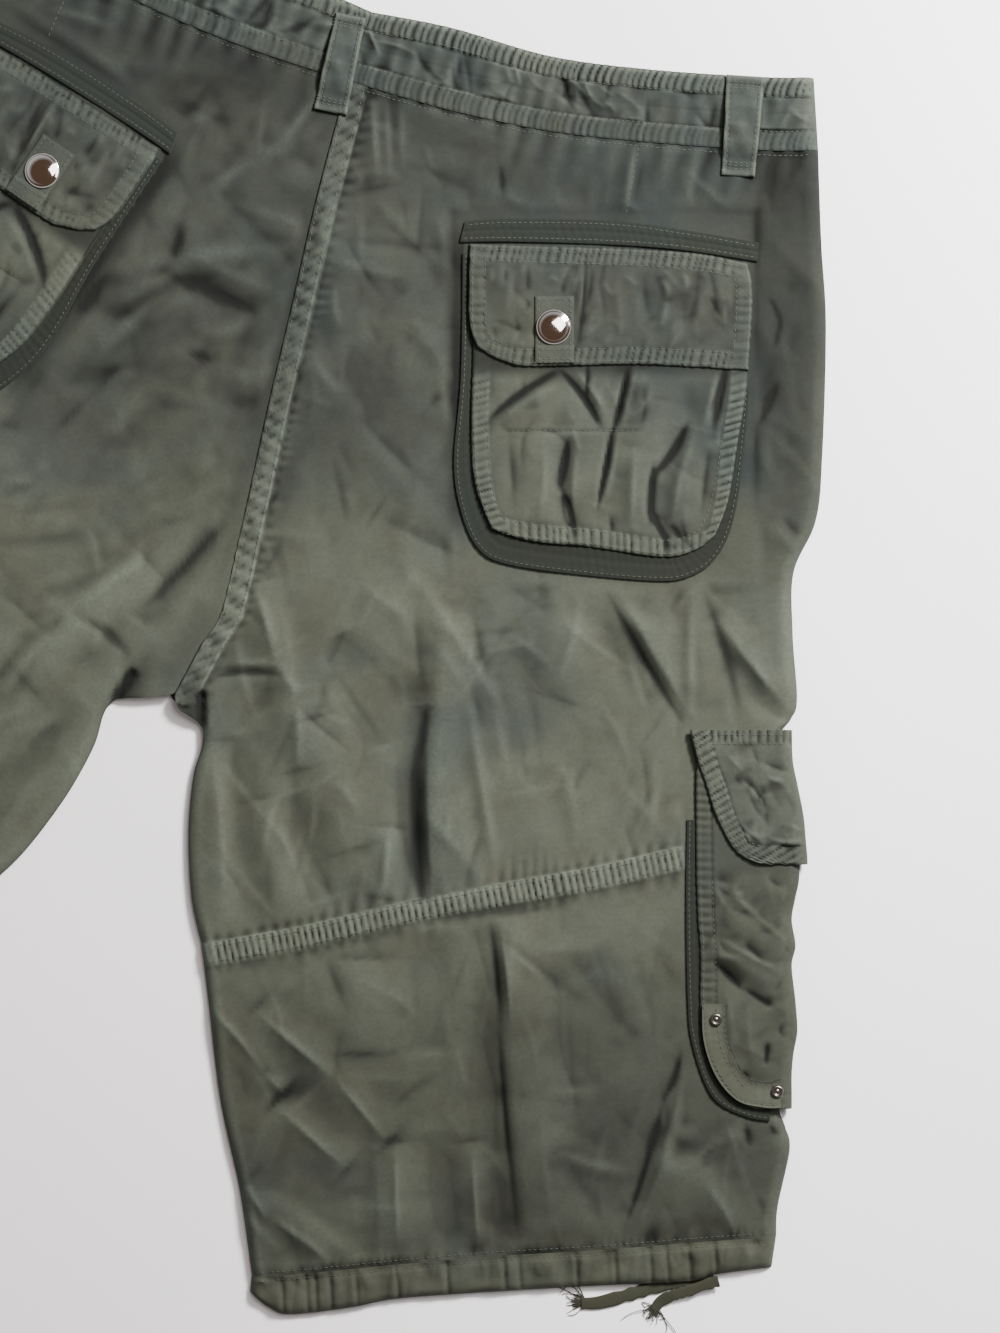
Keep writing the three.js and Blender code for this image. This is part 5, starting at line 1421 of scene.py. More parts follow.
@dataclass
class Drawcord:
    """A flat cord that leaves the hem casing and lies on the surface, frayed at its end."""

    name: str
    width: float
    wall: float
    route: Array

    def path(self, side: Side) -> Array:
        """The points of its middle line, in metres."""
        points = np.column_stack([from_bench(self.route[:, 0], self.route[:, 1]), self.route[:, 2]])
        return line(points)(np.linspace(0, 1, 49)) * np.array([side.value, 1, 1]) * MM

    def length(self, path: Array) -> float:
        """Length of the middle line, in metres."""
        return float(np.linalg.norm(np.diff(path, axis=0), axis=1).sum())

    def tube(self, side: Side) -> bpy.types.Object:
        """The cord's own mesh."""
        path = self.path(side) / MM
        share = np.linspace(0, 1, len(path))
        width = self.width / 2 * (1 + 0.1 * np.sin(40 * share + 3 * np.sin(11 * share)))
        points, quads, caps = sweep(path, width, self.wall / 2 + 0 * share, 20)
        obj = mesh_object(f"{self.name}_{side.word}_braid", points * MM, quads, caps)
        set_cloth_map(obj.data, points[:, 0], points[:, 1])
        recalculate(obj)
        return obj

    def fray(self, side: Side) -> bpy.types.Object:
        """The loose threads at its cut end."""
        path = self.path(side) / MM
        random = np.random.default_rng(len(self.name))
        end, heading = path[-1], path[-1] - path[-4]
        heading /= np.linalg.norm(heading)
        aside = np.array([heading[1], -heading[0], 0])
        share = np.linspace(0, 1, 9)[:, None]
        points, quads, caps = [], [], []
        for k in range(26):
            start = end - 1.5 * heading + aside * self.width * random.uniform(-0.42, 0.42)
            reach, lean, curl = random.uniform(3, 10), random.normal(0, 0.45), random.normal(0, 2.2)
            if k % 9 == 0:
                reach, curl = 2.2 * reach, 2.5 * curl
            run = heading * reach * share + aside * (lean * reach * share + curl * np.sin(2.6 * share))
            thread = start + run
            fall = random.uniform(-0.4, 0.6) + (0.3 - end[2]) * share[:, 0]
            thread[:, 2] = np.clip(end[2] + fall, 0.25, None)
            found = sweep(thread, 0.26 - 0.12 * share[:, 0], 0.2 + 0 * share[:, 0], 5)
            first = sum(len(p) for p in points)
            points.append(found[0])
            quads.append(found[1] + first)
            caps.append(found[2] + first)
        every_point = np.vstack(points)
        name = f"{self.name}_{side.word}_fray"
        obj = mesh_object(name, every_point * MM, np.vstack(quads), np.vstack(caps))
        set_cloth_map(obj.data, every_point[:, 0], every_point[:, 1])
        recalculate(obj)
        return obj


def sweep(path: Array, width: Array, height: Array, sides: int) -> tuple[Array, Array, Array]:
    """A closed flat tube along a path.

    Args:
        path: its middle line.
        width: half its width at each point of the path.
        height: half its thickness at each point.
        sides: faces round it.

    Returns:
        points, four-sided faces and the triangles of its ends.
    """
    heading = np.gradient(path, axis=0)
    heading /= np.linalg.norm(heading, axis=1)[:, None]
    aside = np.cross(heading, [0, 0, 1.0])
    aside /= np.linalg.norm(aside, axis=1)[:, None]
    up = np.cross(aside, heading)
    angle = np.linspace(0, 2 * np.pi, sides, endpoint=False)
    flat = np.sign(np.cos(angle)) * np.abs(np.cos(angle)) ** 0.6
    tall = np.sign(np.sin(angle)) * np.abs(np.sin(angle)) ** 0.8
    rings = path[:, None, :] + aside[:, None, :] * (width[:, None] * flat)[..., None] \
        + up[:, None, :] * (height[:, None] * tall)[..., None]
    rings[..., 2] = np.maximum(rings[..., 2], 0.05)
    number = np.arange(len(path) * sides).reshape(-1, sides)
    after = np.roll(number, -1, axis=1)
    quads = np.stack([number[:-1], number[1:], after[1:], after[:-1]], axis=-1).reshape(-1, 4)
    hub = len(path) * sides
    caps = [(hub, number[0, k], after[0, k]) for k in range(sides)]
    caps += [(hub + 1, after[-1, k], number[-1, k]) for k in range(sides)]
    return np.vstack([rings.reshape(-1, 3), path[:1], path[-1:]]), quads, np.array(caps)


CORDS = (
    Drawcord("drawcord_long", 7, 1.6, table(
        (299, 308.6, 1.9), (293, 310.4, 1.2), (286.2, 312, 0.85), (270, 315, 0.85), (253.8, 319.7, 0.85),
        (237.6, 324, 0.85), (227.9, 324.5, 0.85))),
    Drawcord("drawcord_short", 6, 1.4, table(
        (302, 311.8, 3.7), (293, 314.6, 3), (286.2, 317.2, 2.75), (278, 319.6, 2.3),
        (271, 323.2, 1), (267.3, 327.8, 0.75))),
)


def recalculate(obj: bpy.types.Object) -> None:
    """Turns a closed mesh's faces outwards."""
    work = bmesh.new()
    work.from_mesh(obj.data)
    bmesh.ops.recalc_face_normals(work, faces=work.faces)
    work.to_mesh(obj.data)
    work.free()


@dataclass
class Snap:
    """A pressed metal snap, turned about its own axis."""

    name: str
    across: float
    down: float
    foot: float
    profile: Array

    def build(self, side: Side) -> bpy.types.Object:
        """Makes the snap; the profile's rows are radius and height in millimetres."""
        sides = 48
        angle = np.linspace(0, 2 * np.pi, sides, endpoint=False)
        middle = from_bench(np.array(self.across), np.array(self.down))
        rings = [[(r * math.cos(t) + middle[0], r * math.sin(t) + middle[1], self.foot + h) for t in angle]
                 for r, h in self.profile[1:-1]]
        points = np.array(rings).reshape(-1, 3)
        ends = np.array([[*middle, self.foot + self.profile[row, 1]] for row in (0, -1)])
        number = np.arange(len(points)).reshape(-1, sides)
        after = np.roll(number, -1, axis=1)
        quads = np.stack([number[:-1], after[:-1], after[1:], number[1:]], axis=-1).reshape(-1, 4)
        hub = len(points)
        caps = [(hub, after[0, k], number[0, k]) for k in range(sides)]
        caps += [(hub + 1, number[-1, k], after[-1, k]) for k in range(sides)]
        placed = np.vstack([points, ends]) * np.array([side.value, 1, 1]) * MM
        obj = mesh_object(self.name, placed, quads, np.array(caps))
        recalculate(obj)
        return obj


CAP_PROFILE = table(
    (0, 0), (8.6, 0), (9.3, 0.25), (9.4, 0.6), (9.1, 1.0), (8.7, 1.2), (8.3, 1.25), (7.6, 1.6), (6.3, 2.1),
    (4.6, 2.5), (2.4, 2.75), (0, 2.8))
RING_PROFILE = table(
    (0, 0), (3.0, 0), (3.3, 0.25), (3.25, 0.7), (2.9, 1.1), (2.4, 1.25), (2.0, 1.1), (1.75, 0.6), (1.5, 0.45),
    (1.1, 0.5), (0.8, 0.8), (0, 0.85))


@dataclass(frozen=True)
class Seam:
    """A stitched line: its points in plan, how far aside it runs, and what it leaves out at its ends."""

    points: Array
    aside: float = 0.0
    trim: tuple[float, float] = (2.0, 2.0)

    def places(self) -> Array:
        """Plan places of the line, about a millimetre apart."""
        fine = smooth_points(self.points, 24)
        heading = np.gradient(fine, axis=0)
        heading /= np.maximum(np.linalg.norm(heading, axis=1), 1e-9)[:, None]
        fine = fine + self.aside * np.stack([heading[:, 1], -heading[:, 0]], axis=-1)
        reach = np.concatenate([[0], np.cumsum(np.linalg.norm(np.diff(fine, axis=0), axis=1))])
        at = np.arange(self.trim[0], max(reach[-1] - self.trim[1], self.trim[0] + 2), 1.0)
        return np.stack([np.interp(at, reach, fine[:, k]) for k in range(2)], axis=-1)


@dataclass
class Stitching:
    """Rows of thread that lie on the cloth, set out by Geometry Nodes."""

    name: str
    side: Side
    seams: list[Seam]
    pitch: float = 2.9
    length: float = 2.3
    width: float = 0.5
    seed: int = 7

    def lines(self, under: Sequence[bpy.types.Object]) -> bpy.types.Object:
        """The seams as lines on the highest cloth below them."""
        trees = [BVHTree.FromPolygons([v.co for v in o.data.vertices], [p.vertices for p in o.data.polygons])
                 for o in under]
        points, edges = [], []
        for seam in self.seams:
            last = None
            for x, y in seam.places():
                above = Vector((self.side.value * x * MM, y * MM, 0.06))
                hits = [tree.ray_cast(above, Vector((0, 0, -1)))[0] for tree in trees]
                height = max([hit.z for hit in hits if hit is not None], default=0.0)
                if height < 2 * MM:
                    last = None
                    continue
                if last is not None:
                    edges.append((last, len(points)))
                last = len(points)
                points.append((*above[:2], height + 0.1 * MM))
        mesh = bpy.data.meshes.new(self.name)
        mesh.from_pydata(points, edges, [])
        obj = bpy.data.objects.new(self.name, mesh)
        bpy.context.scene.collection.objects.link(obj)
        return obj

    def build(self, under: Sequence[bpy.types.Object], thread: bpy.types.Material) -> bpy.types.Object:
        """Sets a stitch at each step of the lines and keeps them as a plain mesh."""
        obj = self.lines(under)
        modifier = obj.modifiers.new("stitches", "NODES")
        modifier.node_group = stitch_tree()
        given = {"Pitch": self.pitch * MM, "Length": self.length * MM, "Width": self.width * MM,
                 "Seed": self.seed, "Thread": thread}
        for item in modifier.node_group.interface.items_tree:
            if item.name in given and item.in_out == "INPUT":
                modifier[item.identifier] = given[item.name]
        ready = obj.evaluated_get(bpy.context.evaluated_depsgraph_get())
        mesh = bpy.data.meshes.new_from_object(ready)
        mesh.name = f"{self.name}_rows"
        obj.modifiers.clear()
        obj.data = mesh
        mesh.shade_smooth()
        return obj


def stitch_tree() -> bpy.types.NodeTree:
    """Lays a small thread at each step along lines; it is made once."""
    if "stitches" in bpy.data.node_groups:
        return bpy.data.node_groups["stitches"]
    group = bpy.data.node_groups.new("stitches", "GeometryNodeTree")
    group.interface.new_socket("Geometry", in_out="INPUT", socket_type="NodeSocketGeometry")
    for name, kind in (("Pitch", "Float"), ("Length", "Float"), ("Width", "Float"), ("Seed", "Int"),
                       ("Thread", "Material")):
        group.interface.new_socket(name, in_out="INPUT", socket_type=f"NodeSocket{kind}")
    group.interface.new_socket("Geometry", in_out="OUTPUT", socket_type="NodeSocketGeometry")
    tree = Tree(group)
    given, made = tree.node("NodeGroupInput").outputs, tree.node("NodeGroupOutput")
    curve = tree.node("GeometryNodeMeshToCurve", {"Mesh": given["Geometry"]})
    steps = tree.node("GeometryNodeResampleCurve", {"Curve": curve.outputs[0], "Length": given["Pitch"]},
                      mode="LENGTH")
    tangent = tree.node("GeometryNodeInputTangent")
    turn = tree.node("FunctionNodeAlignRotationToVector", {"Vector": tangent.outputs[0]}, axis="X")
    vary = tree.node("FunctionNodeRandomValue", {2: 0.82, 3: 1.12, "Seed": given["Seed"]}, data_type="FLOAT")
    long = tree.math("MULTIPLY", given["Length"], vary.outputs[1])
    flat = tree.math("MULTIPLY", given["Width"], 0.7)
    size = tree.node("ShaderNodeCombineXYZ", {0: long, 1: given["Width"], 2: flat})
    stitch = tree.node("GeometryNodeMeshUVSphere", {"Segments": 6, "Rings": 4, "Radius": 0.5})
    placed = tree.node("GeometryNodeInstanceOnPoints", {
        "Points": steps.outputs[0], "Instance": stitch.outputs[0], "Rotation": turn.outputs[0],
        "Scale": size.outputs[0]})
    real = tree.node("GeometryNodeRealizeInstances", {"Geometry": placed.outputs[0]})
    painted = tree.node("GeometryNodeSetMaterial", {"Geometry": real.outputs[0], "Material": given["Thread"]})
    group.links.new(painted.outputs[0], made.inputs["Geometry"])
    return group


# Finishes

class Slot(Enum):
    """The record's material slots."""

    TWILL = "twill"
    TAPE = "tape"
    CORD = "cord"
    SNAP = "snap_metal"
    BUTTON = "button"


def linear(hex_colour: str) -> tuple[float, float, float, float]:
    """A colour of the screen as linear light."""
    parts = [int(hex_colour[k:k + 2], 16) / 255 for k in (1, 3, 5)]
    return (*[p / 12.92 if p <= 0.04045 else ((p + 0.055) / 1.055) ** 2.4 for p in parts], 1.0)


class Tree:
    """A few short words for building a node tree."""

    def __init__(self, tree: bpy.types.NodeTree) -> None:
        """Keeps the tree that it adds to."""
        self.tree = tree

    def node(self, kind: str, inputs: Optional[dict] = None, **settings: object) -> bpy.types.Node:
        """Adds a node, and sets or joins its inputs."""
        made = self.tree.nodes.new(kind)
        for key, value in settings.items():
            setattr(made, key, value)
        for key, value in (inputs or {}).items():
            if isinstance(value, bpy.types.NodeSocket):
                self.tree.links.new(value, made.inputs[key])
            else:
                made.inputs[key].default_value = value
        return made

    def math(self, operation: str, *values: object) -> bpy.types.NodeSocket:
        """The result of a sum on numbers and sockets."""
        return self.node("ShaderNodeMath", dict(enumerate(values)), operation=operation).outputs[0]

    def blend(self, share: object, low: object, high: object, kind: str = "MIX") -> bpy.types.NodeSocket:
        """A mix of two colours."""
        made = self.node("ShaderNodeMix", {0: share, 6: low, 7: high}, data_type="RGBA", blend_type=kind)
        return made.outputs[2]


def weave_group() -> bpy.types.NodeTree:
    """A twill weave: the height of its threads and a fine speckle of their dye."""
    group = bpy.data.node_groups.new("weave", "ShaderNodeTree")
    sockets = (("Ribs per metre", "NodeSocketFloat", 900.0), ("Depth", "NodeSocketFloat", 1.0))
    for name, kind, value in sockets:
        group.interface.new_socket(name, in_out="INPUT", socket_type=kind).default_value = value
    group.interface.new_socket("Height", in_out="OUTPUT", socket_type="NodeSocketFloat")
    group.interface.new_socket("Speckle", in_out="OUTPUT", socket_type="NodeSocketFloat")
    tree = Tree(group)
    given, made = tree.node("NodeGroupInput"), tree.node("NodeGroupOutput")
    cloth = tree.node("ShaderNodeUVMap", uv_map="cloth")
    lean = (0, 0, math.radians(62))
    turned = tree.node("ShaderNodeMapping", {"Vector": cloth.outputs[0], "Rotation": lean})
    ribs = tree.node("ShaderNodeTexWave", {"Vector": turned.outputs[0], "Scale": given.outputs[0],
                                           "Distortion": 1.2, "Detail": 1.0}, wave_profile="SIN")
    fine = tree.node("ShaderNodeTexNoise", {"Vector": cloth.outputs[0], "Scale": 1500.0, "Detail": 2.0})
    slub = tree.node("ShaderNodeTexNoise", {"Vector": cloth.outputs[0], "Scale": 420.0, "Detail": 3.0})
    both = tree.math("ADD", ribs.outputs["Fac"], fine.outputs["Fac"])
    height = tree.math("MULTIPLY", both, given.outputs[1])
    speckle = tree.math("ADD", tree.math("MULTIPLY", fine.outputs["Fac"], 0.5),
                        tree.math("MULTIPLY", slub.outputs["Fac"], 0.5))
    group.links.new(height, made.inputs["Height"])
    group.links.new(speckle, made.inputs["Speckle"])
    return group


def dye_group() -> bpy.types.NodeTree:
    """Garment dye blotches and rubbed wear, with painted highlight on crests and painted shade in hollows,
    under the flaps and at the crotch.
    """
    group = bpy.data.node_groups.new("dye", "ShaderNodeTree")
    for name in ("Main", "Cool", "Warm", "Rubbed", "Hollow"):
        group.interface.new_socket(name, in_out="INPUT", socket_type="NodeSocketColor")
    group.interface.new_socket("Speckle", in_out="INPUT", socket_type="NodeSocketFloat")
    group.interface.new_socket("Colour", in_out="OUTPUT", socket_type="NodeSocketColor")
    tree = Tree(group)
    given, made = tree.node("NodeGroupInput"), tree.node("NodeGroupOutput")
    place = tree.node("ShaderNodeTexCoord").outputs["Object"]
    broad = tree.node("ShaderNodeTexNoise", {"Vector": place, "Scale": 9.0, "Detail": 3.5, "Roughness": 0.6})
    small = tree.node("ShaderNodeTexNoise", {"Vector": place, "Scale": 24.0, "Detail": 5.0, "Roughness": 0.6})
    height = tree.node("ShaderNodeSeparateXYZ", {0: place}).outputs[1]
    # The cool tone leans in towards the top of the garment and the warm one towards the bottom.
    upper = tree.node("ShaderNodeMapRange", {"Value": height, 1: -0.05, 2: 0.3, 3: -0.1, 4: 0.18})
    cool = tree.node("ShaderNodeMapRange", {"Value": tree.math("ADD", broad.outputs["Fac"], upper.outputs[0]),
                                            1: 0.44, 2: 0.7})
    lower = tree.node("ShaderNodeMapRange", {"Value": height, 1: -0.12, 2: -0.28, 3: 0.0, 4: 0.12})
    warm = tree.node("ShaderNodeMapRange", {"Value": tree.math("ADD", small.outputs["Fac"], lower.outputs[0]),
                                            1: 0.45, 2: 0.72})
    colour = tree.blend(cool.outputs[0], given.outputs["Main"], given.outputs["Cool"])
    colour = tree.blend(tree.math("MULTIPLY", warm.outputs[0], 0.5), colour, given.outputs["Warm"])
    worn = tree.node("ShaderNodeAttribute", attribute_name="worn").outputs["Fac"]
    deep = tree.node("ShaderNodeAttribute", attribute_name="deep").outputs["Fac"]
    speckle = given.outputs["Speckle"]
    grain = tree.node("ShaderNodeMapRange", {"Value": speckle, 1: 0.3, 2: 0.7, 3: 0.55, 4: 1.0})
    # Rubbed wear and painted highlight on the crests of the relief lighten towards the rubbed colour.
    colour = tree.blend(tree.math("MULTIPLY", worn, grain.outputs[0]), colour, given.outputs["Rubbed"])
    # Painted shade in creases, under the flaps and at the crotch, and the darker tone of some pieces, darken
    # towards the hollow colour.
    colour = tree.blend(deep, colour, given.outputs["Hollow"])
    spots = tree.node("ShaderNodeMapRange", {"Value": speckle, 1: 0.3, 2: 0.7, 3: 0.86, 4: 1.14})
    shade = tree.node("ShaderNodeCombineColor", {channel: spots.outputs[0] for channel in range(3)})
    group.links.new(tree.blend(1.0, colour, shade.outputs[0], "MULTIPLY"), made.inputs["Colour"])
    return group


@dataclass(frozen=True)
class Groups:
    """The shared effects."""

    weave: bpy.types.NodeTree
    dye: bpy.types.NodeTree


@dataclass(frozen=True)
class ClothFinish:
    """Dyed cotton, in five tones: its own main, cool and warm ones, a rubbed one that painted highlight also
    lightens towards, and a hollow one that painted shade darkens towards.
    """

    name: str
    main: str
    cool: str
    warm: str
    rubbed: str
    hollow: str
    ribs: float = 900.0
    depth: float = 0.00012
    roughness: float = 0.88

    def material(self, groups: Groups) -> bpy.types.Material:
        """Makes the material."""
        made = bpy.data.materials.new(self.name)
        made.use_nodes = True
        tree = Tree(made.node_tree)
        shader = made.node_tree.nodes["Principled BSDF"]
        weave = tree.node("ShaderNodeGroup", node_tree=groups.weave)
        weave.inputs["Ribs per metre"].default_value = self.ribs
        tones = {name: linear(value) for name, value in (
            ("Main", self.main), ("Cool", self.cool), ("Warm", self.warm), ("Rubbed", self.rubbed),
            ("Hollow", self.hollow))}
        dye = tree.node("ShaderNodeGroup", node_tree=groups.dye)
        for name, value in tones.items():
            dye.inputs[name].default_value = value
        made.node_tree.links.new(weave.outputs["Speckle"], dye.inputs["Speckle"])
        bump = tree.node("ShaderNodeBump", {"Height": weave.outputs["Height"], "Strength": 0.5,
                                            "Distance": self.depth})
        made.node_tree.links.new(dye.outputs["Colour"], shader.inputs["Base Color"])
        made.node_tree.links.new(bump.outputs[0], shader.inputs["Normal"])
        shader.inputs["Roughness"].default_value = self.roughness
        shader.inputs["Specular IOR Level"].default_value = 0.14
        shader.inputs["Sheen Weight"].default_value = 0.03
        shader.inputs["Sheen Roughness"].default_value = 0.5
        return made


@dataclass(frozen=True)
class PlainFinish:
    """A smooth finish in one colour."""

    name: str
    colour: str
    roughness: float
    metallic: float = 0.0

    def material(self, groups: Groups) -> bpy.types.Material:
        """Makes the material, with faint marks in its gloss."""
        made = bpy.data.materials.new(self.name)
        made.use_nodes = True
        tree = Tree(made.node_tree)
        shader = made.node_tree.nodes["Principled BSDF"]
        place = tree.node("ShaderNodeTexCoord").outputs["Object"]
        marks = tree.node("ShaderNodeTexNoise", {"Vector": place, "Scale": 900.0, "Detail": 3.0})
        gloss = tree.node("ShaderNodeMapRange", {"Value": marks.outputs["Fac"], 1: 0.3, 2: 0.7,
                                                 3: self.roughness * 0.8, 4: self.roughness * 1.3})
        made.node_tree.links.new(gloss.outputs[0], shader.inputs["Roughness"])
        shader.inputs["Base Color"].default_value = linear(self.colour)
        shader.inputs["Metallic"].default_value = self.metallic
        return made


# The last colour of each cloth is the dark one that painted shade darkens towards; the one before it is the
# rubbed one, which painted highlight also lightens towards.
FINISHES = {
    Slot.TWILL: ClothFinish("dyed twill", "#3c3f36", "#262b2a", "#302f25", "#585f55", "#0c0d0b"),
    Slot.TAPE: ClothFinish(
        "woven tape", "#181b16", "#181c19", "#1a1913", "#33372f", "#060704", 700.0, 0.0002),
    Slot.CORD: ClothFinish(
        "braided cord", "#2c2e25", "#2b302b", "#2a291e", "#4c4f44", "#12130d", 600.0, 0.0003),
    Slot.SNAP: PlainFinish("chrome snap", "#cfcac4", 0.08, 1.0),
    Slot.BUTTON: PlainFinish("horn button", "#2c2a26", 0.42),
}
THREAD = PlainFinish("sewing thread", "#2d322b", 0.85)
AGED_SNAP = PlainFinish("aged snap", "#66615a", 0.3, 1.0)


@dataclass
class Cut:
    """The flat cut of a panel: its width and length, and its area."""

    width: float
    length: float
    area: float

    @classmethod
    def of(cls, outer: Array, wrapped: bool = False) -> "Cut":
        """Measures a grid of points, in millimetres, by its outline on the bench.

        Args:
            outer: the grid.
            wrapped: whether its rows run round an edge and are measured along the cloth.
        """
        rim = np.vstack([outer[0], outer[1:, -1], outer[-1, ::-1][1:], outer[::-1, 0][1:]])
        across, down = to_bench(rim[:, :2])
        if wrapped:
            reach = np.linalg.norm(np.diff(outer, axis=1), axis=-1).sum(axis=1) * MM
            length = float(np.ptp(down)) * MM
            return cls(float(reach.max()), length, float(reach.mean()) * length)
        area = abs(np.sum(across * np.roll(down, -1) - np.roll(across, -1) * down)) / 2
        return cls(float(np.ptp(across)) * MM, float(np.ptp(down)) * MM, float(area) * MM ** 2)


class Dresser:
    """Gives each piece its finish and ties it to the part."""

    def __init__(self) -> None:
        """Builds the finishes once."""
        groups = Groups(weave_group(), dye_group())
        self.materials = {slot: finish.material(groups) for slot, finish in FINISHES.items()}
        self.thread = THREAD.material(groups)
        self.aged_snap = AGED_SNAP.material(groups)

    def dress(self, obj: bpy.types.Object, slot: Slot, *nodes: str) -> bpy.types.Object:
        """Paints a piece and names the nodes that it stands for."""
        obj.data.materials.clear()
        obj.data.materials.append(self.materials[slot])
        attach(obj, "root")
        if nodes:
            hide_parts(*nodes)
        log.info("%s: %d faces, for %s", obj.name, len(obj.data.polygons), ", ".join(nodes) or "itself")
        return obj

    def cloth(self, shell: Shell, node: str, slot: Slot = Slot.TWILL) -> bpy.types.Object:
        """Builds and dresses a shell of cloth."""
        return self.dress(shell.build(), slot, node)

    def sew(self, stitching: Stitching, under: Sequence[bpy.types.Object]) -> bpy.types.Object:
        """Adds the stitches on pieces that are in place."""
        obj = stitching.build(under, self.thread)
        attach(obj, "root")
        log.info("%s: %d faces", obj.name, len(obj.data.polygons))
        return obj


class Studio:
    """The camera, the lights and the surface."""

    # name, distance, height, size and power
    lamps = (("key", 1.3, 1.06, 0.34, 128), ("window", 0.72, 1.4, 0.75, 15))

    def camera(self) -> None:
        """Looks straight down, with the leg's bench upright in the picture."""
        data = bpy.data.cameras.new("camera")
        data.sensor_fit = "VERTICAL"
        data.sensor_height = 36
        data.lens = 80
        obj = bpy.data.objects.new("camera", data)
        obj.location = (0.1695, 0.0077, 1.607)
        obj.rotation_euler = (0, 0, LEG_SPLAY)
        bpy.context.scene.collection.objects.link(obj)
        bpy.context.scene.camera = obj

    def area(self, name: str, place: tuple, aim: tuple, size: float, power: float, colour: tuple) -> None:
        """A soft square light."""
        data = bpy.data.lights.new(name, "AREA")
        data.size, data.energy, data.color = size, power, colour
        obj = bpy.data.objects.new(name, data)
        obj.location = place
        obj.rotation_euler = (Vector(place) - Vector(aim)).to_track_quat("Z", "Y").to_euler()
        bpy.context.scene.collection.objects.link(obj)

    def lights(self) -> None:
        """A low key light from the upper right of the picture, and a pale room."""
        bearing = LEG_SPLAY + math.radians(48)
        for name, reach, height, size, power in self.lamps:
            place = (0.15 + reach * math.cos(bearing), reach * math.sin(bearing), height)
            self.area(name, place, (0.1, 0, 0), size, power, (1.0, 0.985, 0.965))
        world = bpy.data.worlds.new("room")
        world.use_nodes = True
        bpy.context.scene.world = world
        tree = Tree(world.node_tree)
        background = world.node_tree.nodes["Background"]
        place = tree.node("ShaderNodeTexCoord").outputs["Generated"]
        rise = tree.node("ShaderNodeSeparateXYZ", {0: place}).outputs[2]
        overhead = tree.node("ShaderNodeMapRange", {"Value": rise, 1: 0.55, 2: 0.8})
        room = tree.blend(overhead.outputs[0], (0.9, 0.92, 0.95, 1), (0.16, 0.1, 0.07, 1))
        world.node_tree.links.new(room, background.inputs["Color"])
        background.inputs["Strength"].default_value = 0.8

    def floor(self) -> None:
        """A pale surface, with painted shade that darkens it towards the left."""
        corners = np.array([(-3, -3, 0), (3, -3, 0), (3, 3, 0), (-3, 3, 0)], dtype=float)
        obj = mesh_object("surface", corners, np.array([[0, 1, 2, 3]]), np.zeros((0, 3), dtype=int))
        made = bpy.data.materials.new("pale surface")
        made.use_nodes = True
        shader = made.node_tree.nodes["Principled BSDF"]
        tree = Tree(made.node_tree)
        place = tree.node("ShaderNodeTexCoord").outputs["Object"]
        across = tree.node("ShaderNodeSeparateXYZ", {0: place}).outputs[0]
        # Painted shade: the surface darkens towards the left, where the key light falls off.
        share = tree.node("ShaderNodeMapRange", {"Value": across, 1: 0.1, 2: 0.38})
        colour = tree.blend(share.outputs[0], linear("#d6d3d4"), linear("#e6e4e6"))
        made.node_tree.links.new(colour, shader.inputs["Base Color"])
        shader.inputs["Roughness"].default_value = 0.6
        obj.data.materials.append(made)


def build_cords(dresser: Dresser) -> None:
    """Makes the free ends of both hem drawcords."""
    for side in Side:
        for cord in CORDS:
            path = cord.path(side)
            obj = dresser.dress(cord.tube(side), Slot.CORD, f"{cord.name}_{side.word}")
            threads = dresser.dress(cord.fray(side), Slot.CORD)
            tuple(path[0])
            cord.length(path)
            [tuple(p) for p in path]


def panel_seams(side: Side) -> list[Seam]:
    """Stitched rows of the panels, the waistband and the hem."""
    knee, hem = bench_points(KNEE_SEAM), bench_points(HEM_SEAM)
    waist = np.vstack([waist_points(np.array([[2, 352]])), waist_points(WAIST_SEAM)])
    edge = waist_points(WAIST_EDGE)
    edge[0, 0] = 2
    dart = from_bench(np.array([258.5, 251.5]), np.array([-302, -264]))
    seams = [Seam(knee, 2, (8, 8)), Seam(knee, 10, (8, 8)), Seam(hem, 2.6, (6, 6)), Seam(hem, -2.2, (6, 6)),
             Seam(waist, 2.4, (0, 6)), Seam(waist, -10.3, (0, 6)), Seam(edge, 10.5, (0, 6)), Seam(dart, 0)]
    if side is Side.RIGHT:
        seat = seat_points(side)[:-1]
        seams += [Seam(seat, -2, (4, 2)), Seam(seat, -10, (4, 2))]
    return seams


def pocket_seams() -> list[Seam]:
    """Stitched rows of the back pocket."""
    flap = {name: bench_points(rows) for name, rows in FLAP_EDGES.items()}
    outer = np.vstack([flap["left"], flap["bottom"][1:]])
    body = np.vstack([bench_points(BODY_EDGES["left"][2:]), bench_points(BODY_EDGES["bottom"][1:-1]),
                      bench_points(BODY_EDGES["right"][2:][::-1])])
    seams = [Seam(outer, -aside, (aside, aside)) for aside in (1.8, 8.6)]
    seams += [Seam(flap["top"], aside, (aside, aside)) for aside in (3, 9.2)]
    seams += [Seam(flap["right"], aside, (aside, aside)) for aside in (1.8, 8.6)]
    seams += [Seam(body, -aside) for aside in (1.6, 8.8)]
    tapes = ((TOP_TAPE_UPPER, 2), (TOP_TAPE_LOWER, -2))
    seams += [Seam(bench_points(rows), aside, (3, 3)) for rows, aside in tapes]
    seams.append(Seam(bench_points(POCKET_GUSSET[:, :2]), -1.8))
    seams.append(Seam(from_bench(np.array([188, 258]), np.array([-148.0, -148]))))
    a0, a1, d0, d1 = TAB_BOX
    for start, end in (((a0, d0), (a0, d1)), ((a1, d1), (a1, d0)), ((a0, d1), (a1, d1)), ((a1, d0), (a0, d0)),
                       ((a0, d0 + 8.5), (a1, d0 + 8.5))):
        rows = table(start, end)
        seams.append(Seam(bench_points(rows), -2.2 if start[1] != d0 + 8.5 else 0, (2, 2)))
    return seams


